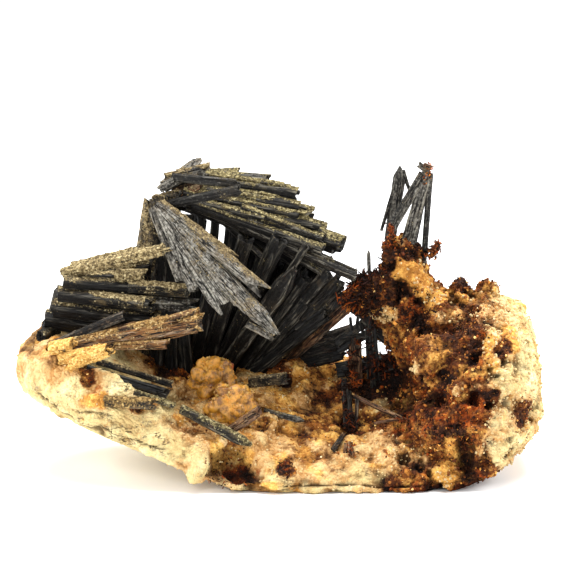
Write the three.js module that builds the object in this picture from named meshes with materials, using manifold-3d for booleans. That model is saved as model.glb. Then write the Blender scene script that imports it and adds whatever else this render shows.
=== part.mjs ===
// Stibnite specimen: long flattened prisms of stibnite, grown in sprays on a boat-shaped piece of pale matrix
// with a rusty crag at one end. Millimetres, +Z up, origin under the middle of the specimen on the surface it
// rests on. +X runs to the crag and -Y is the open, front side.
import * as THREE from "three";
import { mergeVertices } from "three/addons/utils/BufferGeometryUtils.js";
import Module from "manifold-3d";

const wasm = await Module();
wasm.setup();

// ---- driving dimensions ------------------------------------------------------------------------------------

const LENGTH = 78.8; // matrix, end to end along X
const FRONT_Y = -16.5; // front lip of the matrix
const BACK_Y = 20.5; // back of the matrix
const LIP_HEIGHT = 3; // trough floor at the front lip
const FLOOR_SLOPE = 0.4; // rise of the trough floor per millimetre towards the back
const UNDERCUT = 14; // height of the underside above the table at the left end
const RIGHT_LIFT = 9; // the same at the right end
const LIFT_START = 24; // the right end starts to rise here
const BELLY = 1.4; // how far the rounded underside would reach below the table, before it is cut flat
const LEFT_TAPER = 3.4; // the higher, the squarer the end of the plan
const RIGHT_TAPER = 6;
const SIDE_ROUNDING = 0.16; // share of the thickness taken off above and below at the front and back
const END_ROUNDING = 0.34; // the same at the two ends
const LEAST_THICKNESS = 3; // of the rock between its top and its underside
const FLOOR_RUN = 27; // the trough floor stops rising this far behind the front lip
const CLEARANCE = 0.3; // between a crystal and the rock around its root
const CELLS = { along: 18, across: 9, tall: 2 }; // facets of the matrix
const CRYSTAL_SIDES = 6;

// ---- materials ---------------------------------------------------------------------------------------------

const material = (color, roughness, metalness = 0) =>
  new THREE.MeshStandardMaterial({ color, roughness, metalness });

const paleRock = () => material(0xe6d2a0, 0.9);
const greyStibnite = () => material(0x55534f, 0.5, 0.3);
const darkStibnite = () => material(0x2c2926, 0.55, 0.3);
const crustedStibnite = () => material(0x8a7a50, 0.85);
const rustyStibnite = () => material(0x6b4630, 0.8);
const amber = () => material(0xd9a145, 0.35);

// ---- crystals ----------------------------------------------------------------------------------------------

// The way the broad faces of a spray look.
const FRONT = [0, -1, 0.25];
const UP = [0, -0.5, 1];
const LEFT = [-1, -0.4, 0.1];

// Crystals that grew into one another are one spray. Each crystal runs from its root to its tip, and has a
// width, a thickness, the share of its width left at the root, and a pointed or a broken end.
const SPRAYS = [
  {
    name: "left_ledge_spray",
    facing: UP,
    look: crustedStibnite,
    crystals: [
      { from: [-32.8, 0, 30], to: [-15.9, -5.2, 35.1], width: 1.6, thick: 1.6 },
      { from: [-32.6, 0.4, 29.2], to: [-19.8, 0.4, 29.8], width: 1.6, thick: 1.4 },
      { from: [-32.6, -1.4, 29], to: [-12.6, -2.8, 27.7], width: 2.4, thick: 2.2 },
      { from: [-33.6, -1, 27.2], to: [-18.2, -4.2, 25.9], width: 2.6, thick: 2.4 },
      { from: [-31, -1.2, 27], to: [-12.2, -3.6, 25.7], width: 2.4, thick: 2 },
      { from: [-34.4, -0.6, 25], to: [-18, -2.6, 23.2], width: 3, thick: 2.8 },
      { from: [-35.8, 0.6, 23], to: [-18.6, -0.8, 20.6], width: 3.2, thick: 3 },
      { from: [-35.6, 1.4, 17.4], to: [-32.2, 0.6, 29.6], width: 2.2, thick: 2.4 },
      { from: [-36, -2, 20.6], to: [-33.4, 1.8, 21.4], width: 2.1, thick: 2.1 },
      { from: [-33.2, 2.6, 26], to: [-23.4, 5.6, 27.2], width: 3, thick: 2.6 },
    ],
  },
  {
    name: "left_stout_spray",
    facing: FRONT,
    look: rustyStibnite,
    crystals: [
      { from: [-34.6, -5.4, 19.4], to: [-11.3, -9, 24.9], width: 3.8, thick: 2.4, root: 0.6 },
      { from: [-27, -7, 20.4], to: [-16.4, -9.4, 21.2], width: 1.5, thick: 1.4 },
      { from: [-34.6, -4.6, 19.8], to: [-23, -7, 25.2], width: 1.6, thick: 1.2 },
    ],
  },
  {
    name: "left_gold_blade",
    facing: UP,
    look: crustedStibnite,
    crystals: [{ from: [-33, -8.6, 18.8], to: [-24.8, -11, 20.9], width: 1.8, thick: 2 }],
  },
  {
    name: "central_fan",
    facing: FRONT,
    look: greyStibnite,
    crystals: [
      { from: [-18, -1, 41.2], to: [-6.9, -4, 34], width: 1.9, thick: 1.4, root: 0.7 },
      { from: [-18.1, -1.1, 41.1], to: [-5.4, -4.9, 31], width: 1.9, thick: 1.4, root: 0.7 },
      { from: [-18.2, -1.2, 41], to: [-2.1, -6.5, 28.3], width: 2.3, thick: 1.9, root: 0.6 },
      { from: [-18.5, -1.3, 41], to: [-0.3, -8, 22.1], width: 2.6, thick: 1.7, root: 0.5, end: "point" },
      { from: [-18.6, -1.4, 40.9], to: [-4.6, -6.4, 25.2], width: 2.2, thick: 1.4, root: 0.6 },
      { from: [-18.7, -1.4, 40.8], to: [-8.4, -6, 26.4], width: 2.4, thick: 1.4, root: 0.6 },
      { from: [-18.9, -1.5, 40.6], to: [-8.7, -6.8, 25], width: 1.5, thick: 1, root: 0.5, end: "point" },
      { from: [-19, -1.5, 40.5], to: [-12.6, -5, 28.2], width: 2, thick: 1.2, root: 0.6 },
      { from: [-19.2, -1.5, 40.4], to: [-14.6, -4.6, 29.4], width: 1.8, thick: 1, root: 0.7 },
    ],
  },
  {
    name: "back_skirt",
    facing: FRONT,
    look: darkStibnite,
    crystals: [
      { from: [-24, 4.4, 12], to: [-19.2, 2.2, 41], width: 2.6, thick: 1.6 },
      { from: [-21.6, 4, 12], to: [-18.4, 1.9, 41.2], width: 2.6, thick: 1.6 },
      { from: [-19, 4, 11.6], to: [-17.6, 2.1, 40.8], width: 2.5, thick: 1.6 },
      { from: [-16.4, 4.4, 11.4], to: [-16.8, 2.5, 40.4], width: 2.4, thick: 1.6 },
      { from: [-14, 5, 11.2], to: [-16.2, 3, 40], width: 2.4, thick: 1.6 },
      { from: [-20.8, 6, 12], to: [-18, 3.6, 40], width: 2.6, thick: 1.7 },
      { from: [-16.6, 6.6, 11.6], to: [-16.8, 4, 39.6], width: 2.6, thick: 1.7 },
      { from: [-19.6, 8, 11.4], to: [-17.4, 5.4, 38], width: 3.6, thick: 1.8, root: 1 },
    ],
  },
  {
    name: "crown_spray",
    facing: FRONT,
    look: greyStibnite,
    crystals: [
      { from: [-18.4, 1.4, 42.4], to: [-11.6, 5, 45.9], width: 2.9, thick: 2.4 },
      { from: [-16.4, 0.9, 44.5], to: [-5.7, -2, 44], width: 1.5, thick: 1.5 },
      { from: [-17, 0.4, 40.4], to: [-5.7, -3.2, 43.5], width: 1.6, thick: 1.6 },
      { from: [-18.2, 0.8, 42.6], to: [-15.6, 0.4, 44.2], width: 1.4, thick: 1.2 },
      { from: [-17.4, 2.4, 43.8], to: [-10.4, 3.4, 45.2], width: 2.2, thick: 1.8 },
    ],
  },
  {
    name: "roof_sheaf",
    facing: UP,
    look: crustedStibnite,
    crystals: [
      { from: [-13.8, 6.2, 43.6], to: [3.5, 3.6, 41.4], width: 3, thick: 2.3 },
      { from: [-12.4, 7.6, 43.7], to: [-5.8, 7.6, 43.8], width: 1.8, thick: 1.5 },
      { from: [-11, 6.8, 43.8], to: [-1, 6.2, 43.1], width: 1.8, thick: 1.4 },
      { from: [-14.6, 4.2, 42.2], to: [3.2, 2.6, 39.6], width: 2.8, thick: 2.5 },
      { from: [-14.8, 2.6, 41.8], to: [5, 1.8, 38], width: 2.4, thick: 2.3 },
      { from: [-14.8, 2.4, 40.9], to: [6.8, 1.6, 36.6], width: 2.4, thick: 2.3 },
      { from: [-14.2, 1.2, 40.9], to: [-1.8, 0.2, 37.9], width: 1.9, thick: 1.9 },
      { from: [-14, 1.6, 40.3], to: [6.8, 0.4, 35], width: 2.1, thick: 1.9 },
      { from: [-13.4, 0.6, 40.4], to: [6.8, -0.8, 33.6], width: 2, thick: 1.8 },
      { from: [-12, 4.6, 40.2], to: [9.6, 3.2, 33.4], width: 3.2, thick: 2.7 },
      { from: [-11.4, 0.9, 39.6], to: [11.6, -1.4, 29.8], width: 1.8, thick: 1.7 },
      { from: [-10.8, 3.2, 39.2], to: [7.9, 1.6, 30.8], width: 2.4, thick: 2 },
      { from: [-12.4, 7.8, 42.6], to: [1.4, 9.6, 40.2], width: 3, thick: 2.3 },
      { from: [-12.6, 7.4, 41.4], to: [5, 7.8, 37.2], width: 3, thick: 2.5 },
      { from: [-11.4, 6, 39.6], to: [7, 6, 34.8], width: 3.2, thick: 2.7 },
      { from: [-11.4, 8.8, 40.6], to: [5, 11.4, 35], width: 2.8, thick: 2.3 },
      { from: [-14.4, 3.6, 39.8], to: [-2.4, 3.4, 35.4], width: 2.2, thick: 2.2 },
      { from: [-10.4, 3, 38], to: [-2.4, 3, 30.6], width: 2.6, thick: 2.2 },
    ],
  },
  {
    name: "inner_curtain",
    facing: FRONT,
    look: darkStibnite,
    crystals: [
      { from: [-13.2, 8.4, 12.4], to: [-9.6, 0.8, 31.6], width: 2.8, thick: 1.8 },
      { from: [-11.8, 8.2, 12.4], to: [-5, -2.6, 36.5], width: 2.6, thick: 1.7 },
      { from: [-10, 8, 12.2], to: [0, -2.8, 36.2], width: 2.8, thick: 1.7 },
      { from: [-8.8, 7.8, 12.4], to: [4.2, -3.8, 35.6], width: 1.2, thick: 1.1 },
      { from: [-9.4, 7.2, 12.6], to: [2.4, -3.8, 31.8], width: 2.8, thick: 1.8, end: "point" },
      { from: [-7.6, 7.8, 12], to: [4, -0.4, 30.4], width: 2.9, thick: 1.7 },
      { from: [-6, 8, 12], to: [5.8, 0.4, 28.6], width: 2.8, thick: 1.7 },
      { from: [-4.6, 8.2, 12], to: [10, 1.2, 27.8], width: 2.8, thick: 1.9 },
      { from: [-5.6, 6.8, 12.2], to: [7.2, 1.8, 23.8], width: 2.4, thick: 1.7 },
      { from: [-12, 9.2, 11.6], to: [-10, 6, 36.6], width: 3.8, thick: 2, root: 1 },
      { from: [-9.8, 9.2, 11.6], to: [-6, 5.6, 35.4], width: 3.8, thick: 2, root: 1 },
      { from: [-7.6, 9.2, 11.6], to: [-1.6, 5, 33.4], width: 3.8, thick: 2, root: 1 },
      { from: [-5.6, 9.2, 11.6], to: [3, 4.8, 31.4], width: 3.8, thick: 2, root: 1 },
      { from: [-4.4, 9.4, 11.6], to: [7.2, 4.2, 29], width: 3.4, thick: 2, root: 1 },
      { from: [-15, 9.2, 11.4], to: [-13, 6.6, 37.4], width: 4, thick: 1.8, root: 1 },
      { from: [-11, 10, 11.4], to: [-8.2, 6.8, 36.6], width: 4, thick: 2, root: 1 },
      { from: [-8.6, 10, 11.4], to: [-3.8, 6.4, 35.2], width: 4, thick: 2, root: 1 },
      { from: [-6.6, 10, 11.4], to: [0.8, 6, 33], width: 4, thick: 2, root: 1 },
      { from: [-5.6, 10.2, 11.4], to: [4.8, 5.4, 30.8], width: 3.6, thick: 2, root: 1 },
      { from: [-6.6, 7.4, 12.8], to: [7.4, -0.2, 30.4], width: 2.2, thick: 1.6 },
      { from: [-5.4, 7.6, 12.8], to: [9.4, 0.2, 29.5], width: 2.2, thick: 1.6 },
    ],
  },
  {
    name: "cellar_spray",
    facing: FRONT,
    look: rustyStibnite,
    crystals: [
      { from: [-2.4, 10.4, 11.4], to: [10.6, 2.6, 25], width: 2.2, thick: 1.5 },
      { from: [2.2, 7.8, 17], to: [11.2, 5, 20.5], width: 1.6, thick: 1.3 },
      { from: [0.6, 9.2, 14.6], to: [11.2, 5.4, 18.7], width: 1.8, thick: 1.4 },
    ],
  },
  {
    name: "front_double_blade",
    facing: FRONT,
    look: darkStibnite,
    crystals: [
      { from: [-29, -8.2, 17.6], to: [-16.3, -10.4, 14.2], width: 2.6, thick: 1.8 },
      { from: [-26.6, -7.6, 18], to: [-16, -9.2, 14.4], width: 1.8, thick: 1.4 },
    ],
  },
  {
    name: "front_thin_lath",
    facing: FRONT,
    look: crustedStibnite,
    crystals: [{ from: [-21.8, -11.7, 14.45], to: [-15.4, -12.5, 12.35], width: 1, thick: 0.8 }],
  },
  {
    name: "front_fuzzy_blade",
    facing: FRONT,
    look: crustedStibnite,
    crystals: [{ from: [-26.2, -13.2, 13.4], to: [-17.8, -14.6, 13.2], width: 1.9, thick: 1.6 }],
  },
  {
    name: "floor_pointed_prism",
    facing: FRONT,
    look: crustedStibnite,
    crystals: [{ from: [-15, -11, 11.8], to: [-4.2, -15, 7], width: 1.6, thick: 1.3, end: "point" }],
  },
  {
    name: "floor_brown_blade",
    facing: FRONT,
    look: rustyStibnite,
    crystals: [{ from: [-8.4, -12, 8], to: [-2.8, -12.6, 12], width: 1.7, thick: 1.3 }],
  },
  {
    name: "floor_dark_blade",
    facing: FRONT,
    look: darkStibnite,
    crystals: [{ from: [-4.9, -1.4, 13.5], to: [1.4, -4.2, 14.9], width: 1.9, thick: 1.5 }],
  },
  {
    name: "floor_slim_prism",
    facing: FRONT,
    look: greyStibnite,
    crystals: [{ from: [-2.6, -4.6, 10], to: [3.6, -6, 8.6], width: 1, thick: 0.9, end: "point" }],
  },
  {
    name: "hanging_needle_left",
    facing: FRONT,
    look: rustyStibnite,
    crystals: [{ from: [11.4, 4.8, 11], to: [11, 3.4, 19.6], width: 0.9, thick: 0.9, root: 1 }],
  },
  {
    name: "hanging_needle_right",
    facing: FRONT,
    look: darkStibnite,
    crystals: [{ from: [14.1, 4.4, 10], to: [13.4, 2.6, 24], width: 0.9, thick: 0.9, root: 1 }],
  },
  {
    name: "twig_spray",
    facing: FRONT,
    look: rustyStibnite,
    crystals: [
      { from: [10, -4, 6.4], to: [9.5, -1.6, 14.3], width: 1, thick: 0.9, root: 1 },
      { from: [21.4, -6.8, 7.6], to: [9.6, -2.2, 12.3], width: 0.8, thick: 0.7, root: 1 },
    ],
  },
  {
    name: "spire_left_fan",
    facing: FRONT,
    look: greyStibnite,
    crystals: [
      { from: [16.4, 4, 34], to: [18.1, 4, 45.6], width: 1.9, thick: 1.3, root: 0.9, end: "point" },
      { from: [15.1, 3.6, 35.7], to: [17.8, 4, 44.6], width: 0.8, thick: 0.8, root: 0.6 },
      { from: [19.4, 3.9, 41.8], to: [18.3, 4, 45], width: 0.8, thick: 0.8, root: 0.6 },
    ],
  },
  {
    name: "spire_right_fan",
    facing: FRONT,
    look: greyStibnite,
    crystals: [
      { from: [18.4, 2.2, 33], to: [21.8, 2.2, 45.2], width: 1.5, thick: 1.1, root: 0.9 },
      { from: [15.9, 1.4, 36.4], to: [21.2, 1.9, 45], width: 1, thick: 0.9, root: 0.6 },
      { from: [19.8, 3.2, 33], to: [22, 2.5, 44.4], width: 1.1, thick: 0.9 },
      { from: [21.5, 2.4, 31], to: [22.4, 2.2, 45], width: 1, thick: 0.9 },
    ],
  },
  {
    name: "lone_needle",
    facing: LEFT,
    look: greyStibnite,
    crystals: [{ from: [13.4, 2.6, 28], to: [13.2, 2.6, 33.2], width: 0.6, thick: 0.6, end: "point" }],
  },
];

// Stations along a crystal, as [share of the length, share of the full width and thickness].
const STATIONS = {
  point: [
    [0.86, 1],
    [1, 0.3],
  ],
  broken: [[1, 0.94]],
};
const BREAK_SLANT = 0.3; // how far a broken end leans, as a share of the width

// A flattened six-sided prism from root to tip. grow thickens it all round.
function crystal({ from, to, width, thick, root = 0.85, end = "broken" }, facing, grow = 0) {
  const stations = [[0, root], ...STATIONS[end]];
  const last = stations.length - 1;
  const axis = new THREE.Vector3(...to).sub(new THREE.Vector3(...from));
  const length = axis.length() + 2 * grow;
  axis.normalize();
  const side = new THREE.Vector3().crossVectors(axis, new THREE.Vector3(...facing)).normalize();
  const face = new THREE.Vector3().crossVectors(side, axis);
  const start = new THREE.Vector3(...from).addScaledVector(axis, -grow);

  const geometry = new THREE.CylinderGeometry(0.5, 0.5, 1, CRYSTAL_SIDES, last);
  const corners = geometry.attributes.position;
  for (let i = 0; i < corners.count; i++) {
    const k = Math.round((corners.getY(i) + 0.5) * last);
    const [along, full] = stations[k];
    const x = (corners.getX(i) / Math.cos(Math.PI / CRYSTAL_SIDES)) * (full * width + 2 * grow);
    const z = corners.getZ(i) * (full * thick + 2 * grow);
    const lean = k === last ? BREAK_SLANT * x : 0;
    corners.setXYZ(i, x, along * length - lean, z);
  }
  return geometry.applyMatrix4(new THREE.Matrix4().makeBasis(side, axis, face).setPosition(start));
}

function spraySolid({ facing, crystals }, grow = 0) {
  return crystals.map((one) => solidOf(crystal(one, facing, grow))).reduce((sum, next) => sum.add(next));
}

// ---- matrix ------------------------------------------------------------------------------------------------

// Rises and hollows of the trough: [x, y, reach along X, reach along Y, rise, steepness]. Steepness 1 is a
// round hill and 2 a steep-sided one.
const RISES = [
  [-32, 0, 14, 15, 10, 2], // left shoulder, under the ledge of crystals
  [-33, -7, 6, 6, 4, 1], // corner where the stout crystals are rooted
  [-21, -12.6, 10, 4, 8.5, 1], // front rim of the left half
  [-10, -3.5, 4, 3.6, 4, 1], // seat of the back amber lump
  [-7, -9, 4, 3.6, 4, 1], // seat of the front one
  [-5, -2, 6, 5, 3, 1], // swell that carries the dark blade
  [-8, 9, 13, 6, 3.5, 1], // back bank that carries the inner crystals
  [29, 3, 11, 13, 10, 2], // foot of the crag
  [-7.5, -16, 3.4, 2.4, -2.5, 1], // dark vug in the front edge
];

// Rounded masses that make the crag: [x, y, z, radius along X, along Y, along Z].
const BOULDERS = [
  [18.4, 2.6, 28.6, 4, 3.8, 7.4], // horn
  [19.6, 2.8, 24, 4.8, 4.6, 7], // its foot
  [14.4, 2.2, 27, 3.6, 3, 3], // beak over the hollow
  [15.4, 2.2, 25, 4.4, 3.4, 2.8], // underside of the beak
  [12, 1.8, 26.4, 2.6, 2.2, 2.2], // its point
  [17.4, 4.8, 21.6, 4, 3.1, 4.4], // inner flank, under the beak
  [23.4, 2.4, 19, 7, 6.6, 8.6], // neck under the horn
  [26.4, 3.4, 19.6, 7, 7.6, 7.6], // shoulder between horn and plateau
  [30.4, 4.4, 16.4, 8.6, 10.5, 10.6], // plateau
  [33, 1, 15, 6.4, 10, 9.4], // right side
  [30, -4.4, 14.4, 8.6, 8.4, 9.4], // upper front
  [28.2, -6.6, 8.4, 9.6, 9, 8.2], // lower front
  [22.8, -5.4, 17.4, 3.6, 3.6, 4.2], // blocky knob on the front
  [27.2, 4.6, 26.4, 2, 2, 1.9], // dark knob on the plateau
  [31.2, 5.4, 26, 1.8, 1.9, 1.8],
];
const BOULDER_FACETS = { around: 8, up: 5 };

// Translucent lumps that sit on the trough floor, in the same terms.
const LUMPS = [
  { name: "amber_lump_back", at: [-10.2, -3.2, 14.9, 3.5, 2.7, 3.1] },
  { name: "amber_lump_front", at: [-7.2, -8.8, 12, 3.7, 2.7, 3.1] },
];

const lumps = (x, y) =>
  0.5 * Math.sin(0.71 * x + 1.3 * Math.sin(0.43 * y)) * Math.cos(0.59 * y - 0.4 * Math.sin(0.5 * x)) +
  0.35 * Math.sin(1.37 * x - 0.8 * y) * Math.cos(1.13 * y + 0.5 * x);

function troughHeight(x, y) {
  const hills = RISES.reduce((sum, [cx, cy, reachX, reachY, rise, steepness]) => {
    const distance2 = ((x - cx) / reachX) ** 2 + ((y - cy) / reachY) ** 2;
    return sum + rise * Math.exp(-(distance2 ** steepness));
  }, 0);
  return LIP_HEIGHT + FLOOR_SLOPE * Math.min(y - FRONT_Y, FLOOR_RUN) + hills + lumps(x, y);
}

function undersideHeight(x, y) {
  const left = Math.max(0, -x) / (LENGTH / 2);
  const right = Math.max(0, x - LIFT_START) / (LENGTH / 2 - LIFT_START);
  return UNDERCUT * left ** 1.3 + RIGHT_LIFT * right ** 1.6 - BELLY + 0.4 * lumps(y, x);
}

// Plan of the matrix: a rounded oblong whose edge wanders a little, with a narrower left end.
function planPoint(u, v) {
  const along = Math.sin((u * Math.PI) / 2);
  const x = (LENGTH / 2) * along;
  const taper = u < 0 ? LEFT_TAPER : RIGHT_TAPER;
  const halfDepth = ((BACK_Y - FRONT_Y) / 2) * (1 - 0.94 * Math.abs(along) ** taper) ** 0.5;
  const ripple = 0.5 * Math.sin(0.45 * x) + 0.35 * Math.sin(1.1 * x + 2);
  return [x, (FRONT_Y + BACK_Y) / 2 + v * (halfDepth + ripple * (1 - Math.abs(u)))];
}

// The boat-shaped body: a box whose top follows the trough and whose bottom follows the underside.
function hull() {
  const geometry = new THREE.BoxGeometry(2, 2, 2, CELLS.along, CELLS.across, CELLS.tall);
  const corners = geometry.attributes.position;
  for (let i = 0; i < corners.count; i++) {
    const [u, v, w] = [corners.getX(i), corners.getY(i), corners.getZ(i)];
    const rounding = Math.max(SIDE_ROUNDING * v ** 8, END_ROUNDING * u ** 12);
    const [x, y] = planPoint(u * (1 - 0.03 * w * w), v * (1 - 0.07 * w * w));
    const low = undersideHeight(x, y);
    const high = Math.max(troughHeight(x, y), low + LEAST_THICKNESS);
    const share = (1 + w * (1 - 2 * rounding)) / 2;
    corners.setXYZ(i, x, y, low + share * (high - low));
  }
  return geometry;
}

// A rough ball. grow thickens it all round.
function boulder([x, y, z, rx, ry, rz], grow = 0) {
  const geometry = new THREE.SphereGeometry(1, BOULDER_FACETS.around, BOULDER_FACETS.up);
  const corners = geometry.attributes.position;
  const at = new THREE.Vector3();
  for (let i = 0; i < corners.count; i++) {
    at.fromBufferAttribute(corners, i);
    const rough = 1 + 0.07 * Math.sin(5 * at.x + x) * Math.cos(4 * at.y + y) + 0.05 * Math.sin(7 * at.z + z);
    const [reachX, reachY, reachZ] = [rx, ry, rz].map((radius) => radius * rough + grow);
    corners.setXYZ(i, x + reachX * at.x, y + reachY * at.y, z + reachZ * at.z);
  }
  return geometry;
}

// Everything above the table, to cut the underside flat.
function aboveTable() {
  const side = 2 * LENGTH;
  return new THREE.BoxGeometry(side, side, side).translate(0, 0, side / 2);
}

// The rock with a socket for every crystal that is rooted in it and every lump that sits in it.
function matrixSolid() {
  let rock = BOULDERS.reduce((sum, one) => sum.add(solidOf(boulder(one))), solidOf(hull()));
  rock = rock.intersect(solidOf(aboveTable()));
  for (const spray of SPRAYS) {
    rock = rock.subtract(spraySolid(spray, CLEARANCE));
  }
  for (const { at } of LUMPS) {
    rock = rock.subtract(solidOf(boulder(at, CLEARANCE)));
  }
  return rock.decompose().reduce((best, body) => (body.volume() > best.volume() ? body : best));
}

// ---- solids ------------------------------------------------------------------------------------------------

function solidOf(geometry) {
  const bare = geometry.clone();
  bare.deleteAttribute("normal");
  bare.deleteAttribute("uv");
  const merged = mergeVertices(bare, 1e-4);
  return new wasm.Manifold(
    new wasm.Mesh({
      numProp: 3,
      vertProperties: merged.attributes.position.array,
      triVerts: new Uint32Array(merged.index.array),
    }),
  );
}

function meshOf(name, solid, look) {
  const { vertProperties, triVerts } = solid.getMesh();
  const geometry = new THREE.BufferGeometry();
  geometry.setAttribute("position", new THREE.BufferAttribute(new Float32Array(vertProperties), 3));
  geometry.setIndex(new THREE.BufferAttribute(new Uint32Array(triVerts), 1));
  const mesh = new THREE.Mesh(geometry, look);
  mesh.name = name;
  return mesh;
}

// ---- the specimen ------------------------------------------------------------------------------------------

const specimen = new THREE.Group();
specimen.add(meshOf("matrix", matrixSolid(), paleRock()));
for (const spray of SPRAYS) {
  specimen.add(meshOf(spray.name, spraySolid(spray), spray.look()));
}
for (const { name, at } of LUMPS) {
  specimen.add(meshOf(name, solidOf(boulder(at)), amber()));
}

// The middle of the whole specimen stands over the origin.
const middle = new THREE.Box3().setFromObject(specimen).getCenter(new THREE.Vector3());
specimen.position.set(-middle.x, -middle.y, 0);

export default specimen;
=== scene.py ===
"""Stibnite specimen, the looks: striated crystals, crumbly rock, amber lumps, grains and needles.

Shapes are worked out in millimetres in the specimen's own coordinates and written in metres in the row's
frame.
"""

import math
from collections import namedtuple

import bmesh
import bpy
import numpy as np
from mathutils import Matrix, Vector


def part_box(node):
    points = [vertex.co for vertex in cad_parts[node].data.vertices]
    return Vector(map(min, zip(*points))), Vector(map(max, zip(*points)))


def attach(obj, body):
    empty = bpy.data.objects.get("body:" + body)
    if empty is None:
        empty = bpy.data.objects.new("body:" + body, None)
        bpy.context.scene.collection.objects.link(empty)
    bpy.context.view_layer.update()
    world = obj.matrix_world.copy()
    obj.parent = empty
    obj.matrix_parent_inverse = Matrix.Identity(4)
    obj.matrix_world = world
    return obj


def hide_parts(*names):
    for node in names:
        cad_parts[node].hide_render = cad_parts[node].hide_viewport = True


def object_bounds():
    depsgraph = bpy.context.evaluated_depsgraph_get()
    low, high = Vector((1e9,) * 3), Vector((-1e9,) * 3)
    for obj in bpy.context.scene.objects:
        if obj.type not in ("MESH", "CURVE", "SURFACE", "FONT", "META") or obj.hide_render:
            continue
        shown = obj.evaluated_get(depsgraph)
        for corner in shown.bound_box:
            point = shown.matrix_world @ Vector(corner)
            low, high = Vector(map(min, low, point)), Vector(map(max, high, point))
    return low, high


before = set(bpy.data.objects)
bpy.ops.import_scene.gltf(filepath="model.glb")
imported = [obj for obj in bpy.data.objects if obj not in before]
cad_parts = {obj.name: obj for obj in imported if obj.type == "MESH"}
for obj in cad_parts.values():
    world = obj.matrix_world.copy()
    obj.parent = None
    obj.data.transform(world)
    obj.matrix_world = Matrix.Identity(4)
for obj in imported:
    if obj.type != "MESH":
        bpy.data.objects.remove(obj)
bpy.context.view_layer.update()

MM = 0.001
TURN = 2 * math.pi

# ---- places ------------------------------------------------------------------------------------------------

# The lists below are in millimetres, +X towards the crag, -Y towards the open front and +Z up, with the
# plan's middle at this point. The frame says where that point is in the row.
PLAN_MIDDLE = np.array([0.0, 2.0])
matrix_low, matrix_high = (np.array(corner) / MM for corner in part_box("matrix"))
SHIFT = np.append((matrix_low + matrix_high)[:2] / 2 - PLAN_MIDDLE, 0.0)

# The way the broad faces of a spray look.
FRONT = (0, -1, 0.25)
UP = (0, -0.5, 1)
LEFT = (-1, -0.4, 0.1)

# coat is how much of a crystal its granular crust hides, rust how brown it is, tone how light its bare metal
# is and root how much of its width it has where it starts.
# Crystals that stand in shade deep in a spray are given low tones: painted shade.
Crystal = namedtuple(
    "Crystal", "start end width thick coat rust tone root tip", defaults=(0.4, 0, 0.5, 0.85, "broken")
)

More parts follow.
